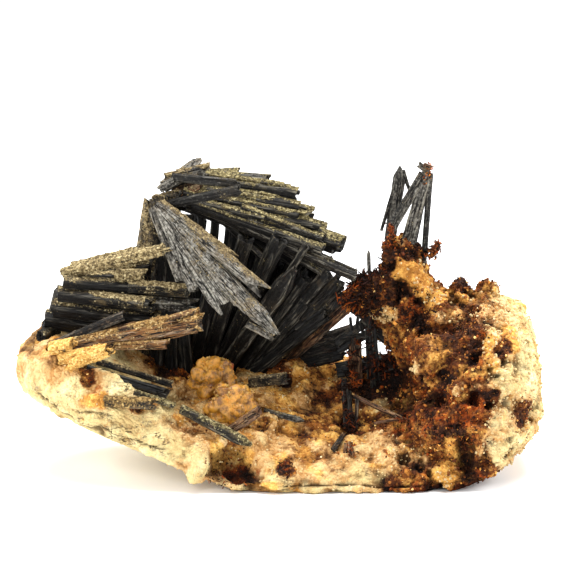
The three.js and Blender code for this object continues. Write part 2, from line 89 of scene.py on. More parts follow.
# Each node's facing, slot and crystals. A crystal's row is where it starts and ends, then the rest in the
# order above. Slips are too small to be solids of their own.
SPRAYS = {
    "left_ledge_spray": (UP, "crusted_stibnite", (
        (-32.8, 0, 30, -15.9, -5.2, 35.1, 1.6, 1.6, 1.5, 0, 0.4),
        (-32.6, 0.4, 29.2, -19.8, 0.4, 29.8, 1.6, 1.4, 1, 0, 0.2),
        (-32.6, -1.4, 29, -12.6, -2.8, 27.7, 2.4, 2.2, 0.45, 0, 0.1),
        (-33.6, -1, 27.2, -18.2, -4.2, 25.9, 2.6, 2.4, 0.3, 0, 0.05),
        (-31, -1.2, 27, -12.2, -3.6, 25.7, 2.4, 2, 0.1, 0, 0.7),
        (-34.4, -0.6, 25, -18, -2.6, 23.2, 3, 2.8, 0.4, 0, 0),
        (-35.8, 0.6, 23, -18.6, -0.8, 20.6, 3.2, 3, 0.35, 0, 0),
        (-35.6, 1.4, 17.4, -32.2, 0.6, 29.6, 2.2, 2.4, 0.1, 0, 0.2),
        (-36, -2, 20.6, -33.4, 1.8, 21.4, 2.1, 2.1, 0.2, 0, 0.3),
        (-33.2, 2.6, 26, -23.4, 5.6, 27.2, 3, 2.6, 0.5, 0, 0.2),
        # slips
        (-23, -2.6, 28.6, -12.8, -3.2, 27.9, 2.3, 2, 1.1, 0, 0.3),
        (-29, -2, 26.9, -18, -4.7, 25.9, 2.5, 2.2, 1.1, 0.2, 0.2),
        (-24.8, -1.6, 30.2, -19.8, -2.2, 30.2, 1.7, 1.5, 1.5, 0, 0.4),
        (-31.6, 2, 30.2, -17.6, 2.6, 33.4, 2.4, 2, 0.9, 0, 0.2),
        (-31, 1.6, 28.8, -18.6, 2.4, 31, 2.4, 2, 0.8, 0, 0.1),
    )),
    "left_stout_spray": (FRONT, "rusty_stibnite", (
        (-34.6, -5.4, 19.4, -11.3, -9, 24.9, 3.8, 2.4, 0.6, 1, 0.5, 0.6),
        (-27, -7, 20.4, -16.4, -9.4, 21.2, 1.5, 1.4, 0.5, 1),
        (-34.6, -4.6, 19.8, -23, -7, 25.2, 1.6, 1.2, 0.05, 0, 0.25),
        # slips
        (-15.4, -8.2, 23.8, -11.2, -9.3, 24.6, 2.7, 2.2, 1.1, 0.3),
    )),
    "left_gold_blade": (UP, "crusted_stibnite", (
        (-33, -8.6, 18.8, -24.8, -11, 20.9, 1.8, 2, 1.3, 0, 0.4),
        # slips
        (-31.6, -9.4, 18.2, -24.9, -11.2, 21, 1.9, 1.9, 1.4),
        (-34.4, -8, 20.2, -30.4, -9, 21.2, 2.1, 1.8, 1.5),
    )),
    "central_fan": (FRONT, "grey_stibnite", (
        (-18, -1, 41.1, -6.6, -4, 32.7, 1.7, 1.4, 0.75, 0, 0.82, 0.7),
        (-18.1, -1.1, 41.1, -5.4, -4.9, 31, 1.9, 1.4, 0.7, 0, 0.82, 0.7),
        (-18.2, -1.2, 41, -2.1, -6.5, 28.3, 2.3, 1.9, 0.5, 0, 0.82, 0.6),
        (-18.5, -1.3, 41, -0.3, -8, 22.1, 2.6, 1.7, 0.5, 0, 0.77, 0.5, "point"),
        (-18.6, -1.4, 40.9, -4.6, -6.4, 25.2, 2.2, 1.4, 0.35, 0, 0.82, 0.6),
        (-18.7, -1.4, 40.8, -8.4, -6, 26.4, 2.4, 1.4, 0.35, 0, 0.82, 0.6),
        (-18.9, -1.5, 40.6, -8.7, -6.8, 25, 1.5, 1, 0.2, 0, 0.82, 0.5, "point"),
        (-19, -1.5, 40.5, -12.6, -5, 28.2, 2, 1.2, 0.3, 0, 0.77, 0.6),
        (-19.2, -1.5, 40.4, -14.6, -4.6, 29.4, 1.8, 1, 0.35, 0, 0.72, 0.7),
        # slips
        (-5, -5.5, 23.4, -1, -7, 21.6, 1.2, 1, 0.5),
    )),
    "back_skirt": (FRONT, "dark_stibnite", (
        (-24, 4.4, 12, -19.2, 2.2, 41, 2.6, 1.6, 1.15),
        (-21.6, 4, 12, -18.4, 1.9, 41.2, 2.6, 1.6, 0.8),
        (-19, 4, 11.6, -17.6, 2.1, 40.8, 2.5, 1.6, 0.15, 0, 0.3),
        (-16.4, 4.4, 11.4, -16.8, 2.5, 40.4, 2.4, 1.6, 0.1, 0, 0.2),
        (-14, 5, 11.2, -16.2, 3, 40, 2.4, 1.6, 0.1, 0, 0.2),
        (-20.8, 6, 12, -18, 3.6, 40, 2.6, 1.7, 0.3, 0, 0.2),
        (-16.6, 6.6, 11.6, -16.8, 4, 39.6, 2.6, 1.7, 0.3, 0, 0.2),
        (-19.6, 8, 11.4, -17.4, 5.4, 38, 3.6, 1.8, 0, 0, 0.05, 1),
    )),
    "crown_spray": (FRONT, "grey_stibnite", (
        (-17.6, 1.8, 42.8, -11.6, 5, 45.9, 2.6, 2.4, 0.4, 0, 0.6, 0.7),
        (-16.4, 0.9, 44.5, -5.7, -2, 44, 1.5, 1.5, 0.12, 0, 0.12),
        (-17, 0.4, 40.4, -5.7, -3.2, 43.5, 1.6, 1.6, 0.05, 0, 0.15),
        (-18.2, 0.8, 42.6, -15.6, 0.4, 44.2, 1.4, 1.2),
        (-17.4, 2.4, 43.8, -10.4, 3.4, 45.2, 2.2, 1.8, 0.8),
        # slips
        (-19.2, 1.4, 40.9, -14.8, 1, 42, 1.5, 1.3, 0.9, 0, 0.2),
        (-17.2, 2.8, 40.2, -11.6, 2.6, 42.4, 2.6, 2, 0.5, 0.7, 0.1),
        (-16.4, 3.2, 42, -11.8, 3, 43.6, 2.2, 1.8, 0.5, 0.5, 0.1),
    )),
    "roof_sheaf": (UP, "crusted_stibnite", (
        (-13.8, 6.2, 43.6, 3.5, 3.6, 41.4, 3, 2.3, 0.6, 0, 0.3),
        (-12.4, 7.6, 43.7, -5.8, 7.6, 43.8, 1.8, 1.5, 0.4, 0, 0.4),
        (-11, 6.8, 43.8, -1, 6.2, 43.1, 1.8, 1.4, 0.4, 0, 0.6),
        (-14.6, 4.2, 42.2, 3.2, 2.6, 39.6, 2.8, 2.5, 0.65, 0, 0.1),
        (-14.8, 2.6, 41.8, 5, 1.8, 38, 2.4, 2.3, 0.65, 0, 0.1),
        (-14.8, 2.4, 40.9, 6.8, 1.6, 36.6, 2.4, 2.3, 0.65, 0, 0.1),
        (-14.2, 1.2, 40.9, -1.8, 0.2, 37.9, 1.9, 1.9, 0.6, 0, 0.3),
        (-14, 1.6, 40.3, 6.8, 0.4, 35, 2.1, 1.9, 0.55, 0, 0.3),
        (-13.4, 0.6, 40.4, 6.8, -0.8, 33.6, 2, 1.8, 0.5, 0, 0.3),
        (-12, 4.6, 40.2, 9.6, 3.2, 33.4, 3.2, 2.7, 0.6, 0, 0.25),
        (-11.4, 0.9, 39.6, 11.6, -1.4, 29.8, 1.8, 1.7, 0.2),
        (-10.8, 3.2, 39.2, 7.9, 1.6, 30.8, 2.4, 2, 0.3, 0, 0.2),
        (-12.4, 7.8, 42.6, 1.4, 9.6, 40.2, 3, 2.3, 0.6, 0, 0.3),
        (-12.6, 7.4, 41.4, 5, 7.8, 37.2, 3, 2.5, 0.6, 0, 0.3),
        (-11.4, 6, 39.6, 7, 6, 34.8, 3.2, 2.7, 0.5, 0, 0.3),
        (-11.4, 8.8, 40.6, 5, 11.4, 35, 2.8, 2.3, 0.6, 0, 0.3),
        (-14.4, 3.6, 39.8, -2.4, 3.4, 35.4, 2.2, 2.2, 0.15, 0, 0),
        (-9.4, 3, 38.4, -1.6, 3, 31, 1.3, 1.6, 0.1, 0, 0),
        # slips
        (0, 0.8, 33.6, 7.1, 0, 29.6, 1.2, 0.9, 0.3, 0, 0.4),
        (1.5, 1.4, 34, 8, 1, 30.8, 1, 0.8, 0.6, 0, 0.4),
        (-6, 0.4, 40.2, 6.8, 0, 35, 1.3, 1, 0.8, 0, 0.4),
        (-12.6, 2, 41.2, -5, 1.4, 34.6, 1.3, 1.2, 0.3, 0, 0.1),
        (-16.6, 4, 39.9, -10.6, 4, 38.6, 1.5, 1.4, 0.2, 0, 0),
        (-12.2, 4, 39.8, -11.8, 4, 35.2, 1.1, 1.1, 0, 0, 0, 1),
    )),
    "inner_curtain": (FRONT, "dark_stibnite", (
        (-13.2, 8.4, 12.4, -9.6, 0.8, 31.6, 2.8, 1.8, 0, 0, 0.1),
        (-11.8, 8.2, 12.4, -5, -2.6, 36.5, 2.6, 1.7, 0.05, 0, 0.1),
        (-10, 8, 12.2, 0, -2.8, 36.2, 2.8, 1.7, 0.05, 0, 0.1),
        (-8.8, 7.8, 12.4, 4.2, -3.8, 35.6, 1.2, 1.1, 0.1, 0, 0.4),
        (-9.4, 7.2, 12.6, 2.4, -3.8, 31.8, 2.8, 1.8, 0.15, 0, 0.35, 0.85, "point"),
        (-7.6, 7.8, 12, 4, -0.4, 30.4, 2.9, 1.7, 0, 0, 0.15),
        (-6, 8, 12, 5.8, 0.4, 28.6, 2.8, 1.7, 0, 0, 0.15),
        (-4.6, 8.2, 12, 10, 1.2, 27.8, 2.8, 1.9, 0.4, 0, 0.1),
        (-5.6, 6.8, 12.2, 7.2, 1.8, 23.8, 2.4, 1.7, 0, 0, 0.1),
        (-12.4, 9.2, 11.6, -10.9, 6, 34.6, 3, 2, 0, 0, 0, 1),
        (-9.8, 9.2, 11.6, -6, 5.6, 35.4, 3.8, 2, 0, 0, 0, 1),
        (-7.6, 9.2, 11.6, -1.6, 5, 33.4, 3.8, 2, 0, 0, 0, 1),
        (-5.6, 9.2, 11.6, 3, 4.8, 31.4, 3.8, 2, 0, 0, 0, 1),
        (-4.4, 9.4, 11.6, 7.2, 4.2, 29, 3.4, 2, 0, 0, 0, 1),
        (-15, 9.2, 11.4, -13, 6.6, 37.4, 4, 1.8, 0, 0, 0, 1),
        (-11, 10, 11.4, -8.6, 7.2, 33.6, 4, 2, 0, 0, 0, 1),
        (-8.6, 10, 11.4, -3.8, 6.4, 35.2, 4, 2, 0, 0, 0, 1),
        (-6.6, 10, 11.4, 0.8, 6, 33, 4, 2, 0, 0, 0, 1),
        (-5.6, 10.2, 11.4, 4.8, 5.4, 30.8, 3.6, 2, 0, 0, 0, 1),
        (-6.6, 7.4, 12.8, 7.4, -0.2, 30.4, 2.2, 1.6, 0.05, 0, 0.15),
        (-5.4, 7.6, 12.8, 9.4, 0.2, 29.5, 2.2, 1.6, 0.2, 0, 0.15),
        # slips
        (-11, 7, 22, -9.7, 6, 38.2, 1.4, 1.2, 0, 0, 0, 1),
        (-8.8, 7, 22, -7.2, 5.6, 38.2, 1.8, 1.2, 0, 0, 0, 1),
        (-6.2, 4, 35.8, 4.6, 4.2, 29.4, 2, 1.4, 0, 0, 0, 1),
        (-5.4, 0.4, 35, -1.9, -0.8, 32, 0.9, 0.7, 0.1, 0, 0.6),
        (2, 3.5, 21, 7.4, 2, 24.4, 1.6, 1.2, 0, 0, 0.1),
    )),
    "cellar_spray": (FRONT, "rusty_stibnite", (
        (-2.4, 10.4, 11.4, 10.6, 2.6, 25, 2.2, 1.5, 0.1, 0.5, 0.1),
        (2.2, 7.8, 17, 11.2, 5, 20.5, 1.6, 1.3, 0.15, 0.2, 0.2),
        (0.6, 9.2, 14.6, 11.2, 5.4, 18.7, 1.8, 1.4, 0, 0.3, 0.1),
    )),
    "front_double_blade": (FRONT, "dark_stibnite", (
        (-29, -8.2, 17.2, -16.3, -10.4, 13.7, 1.5, 1.6, 0.1, 0, 0.05),
        (-27.4, -7.6, 18.2, -15.8, -9.2, 14.9, 1.1, 1.3, 0.5, 0, 0.12),
    )),
    "front_thin_lath": (FRONT, "crusted_stibnite", (
        (-21.8, -11.7, 14.45, -15.4, -12.5, 12.35, 1, 0.8, 0.7, 0, 0.4),
    )),
    "front_fuzzy_blade": (FRONT, "crusted_stibnite", (
        (-26.2, -13.2, 13.4, -17.8, -14.6, 13.2, 1.9, 1.6, 1.15, 0.3, 0.2),
    )),
    "floor_pointed_prism": (FRONT, "crusted_stibnite", (
        (-15, -11, 11.8, -4.2, -15, 7, 1.6, 1.3, 0.6, 0.3, 0.4, 0.85, "point"),
    )),
    "floor_brown_blade": (FRONT, "rusty_stibnite", (
        (-8.4, -12, 8, -2.8, -12.6, 12, 1.7, 1.3, 0.3, 0.8, 0.2),
    )),
    "floor_dark_blade": (FRONT, "dark_stibnite", (
        (-4.9, -1.4, 13.5, 1.4, -4.2, 14.9, 1.9, 1.5, 0.6, 0.3, 0.1),
    )),
    "floor_slim_prism": (FRONT, "grey_stibnite", (
        (-2.6, -4.6, 10, 3.6, -6, 8.6, 1, 0.9, 0.4, 0, 0.4, 0.85, "point"),
    )),
    "hanging_needle_left": (FRONT, "rusty_stibnite", (
        (11.4, 4.8, 11, 11, 3.4, 19.6, 0.9, 0.9, 0.1, 0.5, 0.1, 1),
        # slips
        (12, 4.6, 11.6, 11.7, 3.6, 20.2, 0.9, 0.8, 0.1, 0.5, 0.1, 1),
        (10.8, 4.8, 12, 10.5, 3.7, 18.6, 0.7, 0.6, 0.1, 0.7, 0.1, 1),
    )),
    "hanging_needle_right": (FRONT, "dark_stibnite", (
        (14.1, 4.4, 10, 13.4, 2.6, 24, 0.9, 0.9, 0, 0, 0.2, 1),
        # slips
        (14.1, 4.2, 12.6, 15, 4.4, 9.6, 0.5, 0.4, 0, 0, 0.6, 1),
        (14, 4.2, 12.8, 13.3, 4.4, 9.6, 0.5, 0.4, 0, 0, 0.6, 1),
        (13.8, 3.8, 14, 14.2, 3.6, 9.8, 0.45, 0.4, 0, 0, 0.3, 1),
        (10.35, 3, 23.9, 12.75, 3, 22.2, 0.7, 0.6, 0, 0, 0.2, 1),
        (8.2, 3.6, 18.4, 13.7, 3.6, 22.3, 1.5, 1, 0.1, 0, 0.1, 1),
        (8.6, 4.4, 17.2, 14.2, 4.2, 20.4, 1.4, 1, 0, 0, 0.1, 1),
        (12.6, 3.4, 22.6, 18.6, 4.2, 16.6, 1.9, 1.2, 0.1, 0, 0.1, 1),
        (13.2, 3.2, 22.1, 16.6, 3.6, 21.7, 0.7, 0.6, 0.1, 0, 0.2, 1),
        (9, 3.2, 19.2, 13.8, 3.2, 19.9, 0.7, 0.6, 0.1, 0, 0.2, 1),
        (12, 3, 21.6, 12.7, 3, 19.4, 0.6, 0.5, 0, 0, 0.2, 1),
        (10.7, 3.2, 20.4, 10.5, 3.2, 22.6, 0.5, 0.4, 0, 0, 0.2, 1),
        (11.4, 3.2, 20.8, 11.7, 3.2, 22.9, 0.5, 0.4, 0, 0, 0.2, 1),
        (14.7, 4.2, 12.6, 14, 2.9, 22, 0.8, 0.7, 0, 0, 0.2, 1),
        (13.4, 4.4, 12.8, 13, 3.1, 21, 0.7, 0.6, 0, 0, 0.1, 1),
        (8.4, 6.4, 13.6, 16.4, 6.2, 15.2, 2.4, 1.4, 0, 0, 0, 1),
        (13.6, 5.6, 14, 19, 5.2, 15.6, 3, 1.6, 0, 0, 0, 1),
        (3, 8.6, 14.2, 10.6, 6, 16.9, 2.4, 1.6, 0, 0, 0, 1),
    )),
    "twig_spray": (FRONT, "rusty_stibnite", (
        (10, -4, 6.4, 9.5, -1.6, 14.3, 1, 0.9, 0.1, 0.3, 0.1, 1),
        (21.4, -6.8, 7.6, 9.6, -2.2, 12.3, 0.8, 0.7, 0.3, 0.8, 0.1, 1),
        # slips
        (10.4, -10.5, 6.6, 10.7, -12.5, 3, 0.9, 0.7, 0.3, 0.8, 0.1),
        (9.8, -10.3, 6.4, 9.4, -12.2, 3.4, 0.7, 0.6, 0.3, 0.8, 0.1),
        (10.7, -4.8, 6.4, 10.2, -3, 13, 0.8, 0.7, 0.1, 0.3, 0.1, 1),
        (11.3, -4.6, 6.6, 11.5, -3.8, 11.6, 0.6, 0.5, 0.1, 0.4, 0.3, 1),
        (9.5, -8, 7.2, 7.7, -11.2, 5.3, 0.9, 0.7, 0.2, 0.2, 0.2),
        (14, -6.4, 8.4, 18.4, -7, 9.4, 0.5, 0.4, 0.2, 0.8, 0.1),
    )),
    "spire_left_fan": (FRONT, "grey_stibnite", (
        (16.4, 4, 34, 18.1, 4, 45.6, 1.9, 1.3, 0.1, 0, 0.4, 0.9, "point"),
        (15.1, 3.6, 35.7, 17.8, 4, 44.6, 0.8, 0.8, 0.1, 0, 0.4, 0.6),
        (19.4, 3.9, 41.8, 18.3, 4, 45, 0.8, 0.8, 0.1, 0, 0.4, 0.6),
        # slips
        (16.6, 3.4, 35, 17.4, 3.6, 42, 1.2, 0.8, 0.1, 0, 0.6, 0.6, "point"),
    )),
    "spire_right_fan": (FRONT, "grey_stibnite", (
        (18.4, 2.2, 33, 21.8, 2.2, 45.2, 1.5, 1.1, 0.1, 0, 0.55, 0.9),
        (15.9, 1.4, 36.4, 21.2, 1.9, 45, 1, 0.9, 0.1, 0, 0.4, 0.6),
        (19.8, 3.2, 33, 22, 2.5, 44.4, 1.1, 0.9, 0.05, 0, 0.15),
        (21.5, 2.4, 31, 22.4, 2.2, 45, 1, 0.9, 0.05, 0, 0.25),
        # slips
        (19.3, 2.2, 33.6, 22, 2.2, 44.8, 1.6, 0.9, 0.1, 0, 0.6, 0.9),
        (22.2, 2, 45, 20.5, 1.8, 46.4, 1, 0.4, 0.3, 0.4),
        (21.4, 1.6, 46.3, 22.6, 1.8, 45.7, 0.8, 0.5, 0.3, 0.9),
        (16.7, 1.6, 35.8, 20.5, 1.8, 43.2, 1.4, 0.9, 0.1, 0, 0.55, 0.5),
    )),
    "lone_needle": (LEFT, "grey_stibnite", (
        (13.4, 2.6, 28, 13.2, 2.6, 33.2, 0.6, 0.6, 0, 0, 0.6, 0.85, "point"),
    )),
}

# ---- arrays ------------------------------------------------------------------------------------------------


def smooth(low, high, value):
    """0 below low, 1 above high, and 3t^2 - 2t^3 between them."""
    t = np.clip((value - low) / (high - low), 0, 1)
    return t * t * (3 - 2 * t)


def lattice(cell, seed):
    """A repeatable random number from 0 to 1 for each whole-numbered point of space: its three numbers are
    multiplied by large odd numbers, added and scrambled."""
    mixed = cell @ np.array([374761393, 668265263, 1103515245]) + seed * 1274126177
    mixed = ((mixed & 0xFFFFFFFF) ^ ((mixed & 0xFFFFFFFF) >> 13)) * 1274126177 & 0xFFFFFFFF
    return ((mixed ^ (mixed >> 16)) & 0xFFFFFF) / 0xFFFFFF


def waves(points, size, seed=0, octaves=1):
    """Soft random rises and hollows from -1 to 1, about size across: random numbers on a cubic lattice,
    blended smoothly between its corners. Each octave is half as wide and half as high as the last."""
    total, height, reach = 0.0, 1.0, 0.0
    for octave in range(octaves):
        at = points / size * 2**octave
        cell = np.floor(at).astype(np.int64)
        t = smooth(0, 1, at - cell)
        value = 0.0
        for corner in np.ndindex(2, 2, 2):
            weight = np.prod(np.where(np.array(corner) == 1, t, 1 - t), axis=-1)
            value = value + weight * lattice(cell + np.array(corner), seed + 17 * octave)
        total = total + height * (2 * value - 1)
        reach += height
        height /= 2
    return total / reach


def drift(points, size, seed, octaves=1):
    """Soft waves of their own along each of the three axes, as a vector for every point."""
    return np.stack([waves(points, size, seed + k, octaves) for k in range(3)], axis=-1)


def knobs(points, size, seed=0):
    """Distance to the nearest of a cloud of random points, one in each cube of side size, as a share of size:
    0 on the tops of rounded knobs and about 1 in the creases between them."""
    cell = np.floor(points / size).astype(np.int64)
    nearest = np.full(points.shape[:-1], 9.0)
    for step in np.ndindex(3, 3, 3):
        cube = cell + np.array(step) - 1
        centre = cube + np.stack([lattice(cube, seed + k) for k in range(3)], axis=-1)
        nearest = np.minimum(nearest, np.linalg.norm(points / size - centre, axis=-1))
    return nearest


def unit(vector):
    """The vector, one long."""
    return vector / np.maximum(np.linalg.norm(vector, axis=-1, keepdims=True), 1e-9)


class Shell:
    """Grids and loose shapes gathered into one mesh, with one number of each kind for every point."""

    KINDS = ("coat", "rust", "tone", "groove", "ridge")

    def __init__(self):
        self.points, self.quads, self.tris, self.quad_uv, self.tri_uv, self.count = [], [], [], [], [], 0
        self.values = {kind: [] for kind in self.KINDS}
        self.crusted = []  # places on crystals where the crust is thick: points, outward directions and crust

    def add(self, points, quads, tris, quad_uv=None, tri_uv=None, **values):
        self.points.append(points)
        self.quads.append(quads + self.count)
        self.tris.append(tris + self.count)
        self.quad_uv.append(np.zeros((len(quads), 4, 2)) if quad_uv is None else quad_uv)
        self.tri_uv.append(np.zeros((len(tris), 3, 2)) if tri_uv is None else tri_uv)
        for kind in self.KINDS:
            self.values[kind].append(np.broadcast_to(values.get(kind, 0.0), len(points)))
        self.count += len(points)

    def build(self, name, material, slot, *stands_for):
        """The gathered shapes as one object that rides on the specimen."""
        points, quads, tris = (np.concatenate(part) for part in (self.points, self.quads, self.tris))
        mesh = bpy.data.meshes.new(name)
        mesh.vertices.add(len(points))
        mesh.vertices.foreach_set("co", in_row(points))
        corners = np.concatenate([quads.ravel(), tris.ravel()])
        mesh.loops.add(len(corners))
        mesh.loops.foreach_set("vertex_index", corners.astype(np.int32))
        mesh.polygons.add(len(quads) + len(tris))
        starts = np.concatenate([4 * np.arange(len(quads)), 4 * len(quads) + 3 * np.arange(len(tris))])
        mesh.polygons.foreach_set("loop_start", starts.astype(np.int32))
        mesh.update(calc_edges=True)
        mesh.polygons.foreach_set("use_smooth", np.zeros(len(mesh.polygons), bool))
        flat = np.concatenate([np.concatenate(part).reshape(-1, 2) for part in (self.quad_uv, self.tri_uv)])
        mesh.uv_layers.new(name="grain").data.foreach_set("uv", flat.astype(np.float32).ravel())
        give(mesh, {kind: np.concatenate(parts) for kind, parts in self.values.items()})
        show(mesh, name, material, slot, *stands_for)


def in_row(points):
    """The points as the row's metres, in one line of numbers."""
    return ((points + SHIFT) * MM).astype(np.float32).ravel()


def give(mesh, fields):
    """One number of each kind for every point of the mesh."""
    for kind, values in fields.items():
        mesh.attributes.new(kind, "FLOAT", "POINT").data.foreach_set("value", values.astype(np.float32))


def show(mesh, name, material, slot, *stands_for):
    """An object for the mesh, with its finish, riding on the specimen and standing for the nodes named."""
    piece = bpy.data.objects.new(name, mesh)
    bpy.context.scene.collection.objects.link(piece)
    mesh.materials.append(material)
    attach(piece, "root")
    if stands_for:
        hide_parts(*stands_for)


def tube_faces(rows, around):
    """Quads of a closed tube of rows by around points, and the triangles that close it at a point before its
    first row and a point after its last, facing outwards."""
    i, j = np.indices((rows - 1, around))
    k = (j + 1) % around
    quads = np.stack([i * around + j, i * around + k, (i + 1) * around + k, (i + 1) * around + j], axis=-1)
    j, k = j[0], k[0]
    first, last = rows * around, rows * around + 1
    below = np.stack([np.full(around, first), k, j], axis=-1)
    above = np.stack([np.full(around, last), (rows - 1) * around + j, (rows - 1) * around + k], axis=-1)
    return quads.reshape(-1, 4), np.concatenate([below, above])


# ---- crystals ----------------------------------------------------------------------------------------------

# Where along a crystal its width changes, and to what share of the full width, after the root.
TIPS = {"broken": ([0, 1], [0.94]), "point": ([0, 0.86, 1], [1, 0.3])}
SECTORS = 7  # of the tip, each broken off at its own length
BREAK_SLANT = 0.135  # how far a tip's break runs along the crystal, as a share of its width
CAP_SHARES = np.array([0.35, 0.72])  # how wide the rings are that close an end
CAP_JAG = 0.16  # how rough a closed end is, as a share of the width
CRUST_SWING = 0.16  # how much the crust's patches add to it or take away
STREAK_GIRTH = 2.6  # the way round a crystal, in its mean widths, as its streaks are spaced


def lath(shell, crystal, facing, rng, around=36, step=0.3, grooves=7, crust_height=0.16):
    """A striated crystal: a flattened hexagon carried from root to tip.

    The section is a superellipse: the sine over the half-width and the cosine over the half-thickness, each
    to a power, add up to one. It is cut by V-shaped grooves that run along the crystal, each with its own
    angle, depth, start and end. The width grows from the root and shrinks again before a pointed tip. Each
    sector of the tip breaks off at its own length, and rings that shrink to a point close both ends. Where
    the crystal faces up, a granular crust stands proud of it by its own soft noise."""
    start, end = np.array(crystal.start, float), np.array(crystal.end, float)
    length = np.linalg.norm(end - start)
    axis = (end - start) / length
    side = unit(np.cross(axis, np.array(facing) + rng.normal(0, 0.12, 3)))
    face = np.cross(side, axis)
    rows = int(np.clip(length / step, 10, 96))
    theta = TURN * np.arange(around) / around + rng.uniform(0, 0.02)
    sine, cosine = np.sin(theta), np.cos(theta)
    v = np.linspace(0, 1, rows)

    stations, shares = TIPS[crystal.tip]
    full = np.interp(v, stations, [crystal.root, *shares])
    squareness = rng.uniform(2.4, 3.6)
    shape = (np.abs(sine) ** squareness + np.abs(cosine) ** squareness) ** (-1 / squareness)

    def drawn(low, high):
        return rng.uniform(low, high, grooves)[:, None, None]

    place = drawn(0, TURN) + rng.normal(0, 0.12, grooves)[:, None, None] * v[:, None]
    depth, breadth, begins = drawn(0.05, 0.2), drawn(0.1, 0.24), drawn(-0.4, 0.5)
    ends = begins + drawn(0.5, 1.2)
    apart = np.abs(np.mod(theta - place + math.pi, TURN) - math.pi)
    run = smooth(begins, begins + 0.08, v[:, None]) * (1 - smooth(ends - 0.08, ends, v[:, None]))
    cut = (depth * np.clip(1 - apart / breadth, 0, 1) * run).sum(axis=0)
    ribs = 0.022 * np.cos(rng.integers(11, 16) * theta + rng.uniform(0, TURN))
    along = np.stack([v * length / 2.2, np.full(rows, rng.uniform(0, 99)), np.zeros(rows)], axis=-1)
    swell = 1 + 0.05 * waves(along, 1.0, 3)[:, None]
    radius = 0.5 * shape * full[:, None] * (1 - cut + ribs) * swell

    cuts = np.sort(rng.uniform(0, TURN, SECTORS - 1))
    drops = rng.uniform(0, 0.45, SECTORS) + (rng.random(SECTORS) < 0.35) * rng.uniform(0.3, 1.5, SECTORS)
    drops[-1] = drops[0]
    sector = np.searchsorted(cuts, np.mod(theta, TURN))
    drop = drops[sector] * crystal.width * (0.4 if crystal.tip == "point" else 1)
    drop = np.clip(drop + BREAK_SLANT * crystal.width * sine, 0, 0.2 * length)
    foot = rng.uniform(0, 0.2, SECTORS)[sector] * crystal.width
    reach = foot + v[:, None] * (length - drop - foot)

    x, z = radius * sine * crystal.width, radius * cosine * crystal.thick
    body = start + reach[..., None] * axis + x[..., None] * side + z[..., None] * face
    outward = unit((sine / crystal.width)[:, None] * side + (cosine / crystal.thick)[:, None] * face)

    # The crust lies on what faces up, in patches.
    patches = waves(body, 2.6, 5, 2)
    lying = smooth(0.3, 0.85, outward[:, 2] + 0.4 * patches)
    least = 0.42 if facing is FRONT else 0.1
    coat = crystal.coat * (least + (1.15 - least) * lying) + CRUST_SWING * patches * (crystal.coat > 0.02)
    coat = np.clip(np.maximum(coat, smooth(0.9, 1.5, crystal.coat)), 0, 1)
    grains = waves(body, 0.55, 11, 2)
    body = body + (crust_height * smooth(0.35, 0.8, coat) * (0.45 + grains))[..., None] * outward
    away = np.broadcast_to(outward, body.shape).reshape(-1, 3)
    shell.crusted.append((body.reshape(-1, 3), away, (smooth(0.3, 0.9, coat) * step).ravel()))

    poles = np.stack([start + axis * foot.mean(), start + axis * (length - drop.mean())])
    rings = []
    for rim, pole, sign in ((body[0], poles[0], -1), (body[-1], poles[1], 1)):
        ring = pole + (rim - pole) * CAP_SHARES[::-sign, None, None]
        jag = sign * CAP_JAG * crystal.width * rng.uniform(-0.6, 0.35, ring.shape[:2])
        rings.append(ring + axis * jag[..., None])
    grid = np.concatenate([rings[0], body, rings[1]])
    quads, tris = tube_faces(len(grid), around)

    # The streaks' own coordinates: millimetres round the crystal and millimetres along it.
    spare = rng.uniform(0, 40, 2)
    girth = STREAK_GIRTH * (crystal.width + crystal.thick) / 2
    round_mm = theta / TURN * girth
    along_mm = np.concatenate([[0, 0], v * length, [length, length]])
    i, j = np.indices((len(grid) - 1, around)).reshape(2, -1)
    low, high = round_mm[j], round_mm[j] + girth / around
    across_uv = np.stack([low, high, high, low], axis=-1)
    along_uv = np.stack([along_mm[i], along_mm[i], along_mm[i + 1], along_mm[i + 1]], axis=-1)
    quad_uv = np.stack([across_uv, along_uv], axis=-1)
    ends_uv = np.stack([np.tile(round_mm, 2), np.repeat(along_mm[[0, -1]], around)], axis=-1)
    tri_uv = np.repeat(ends_uv[:, None], 3, axis=1)

    def closed(values, share=1.0):
        """The body's numbers, with a share of them on the rings that close its ends and 0 at both poles."""
        values = np.concatenate([values[[0, 0]] * share, values, values[[-1, -1]] * share])
        return np.append(values.ravel(), [0, 0])

    # Painted shade in the grooves, less where thick crust fills them.
    painted_groove_shade = smooth(0.02, 0.16, cut) * (1 - 0.6 * smooth(0.4, 0.8, coat))
    # Painted highlight on the section's corners that face up or to the front, and on the far end's rim.
    lit = smooth(-0.1, 0.3, np.maximum(outward[:, 2], -0.6 * outward[:, 1]))
    edge = smooth(0.96, 1.0, shape / shape.max()) * lit * (1 - smooth(0, 0.05, cut))
    edge = np.maximum(edge, 0.8 * smooth(1 - 0.5 / rows, 1, v)[:, None])
    shell.add(
        np.concatenate([grid.reshape(-1, 3), poles]), quads, tris, quad_uv + spare, tri_uv + spare,
        coat=closed(coat, 0.5), groove=closed(painted_groove_shade), ridge=closed(edge, 0.3), rust=crystal.rust,
        tone=np.clip(crystal.tone + rng.uniform(-0.08, 0.08), 0, 1),
    )


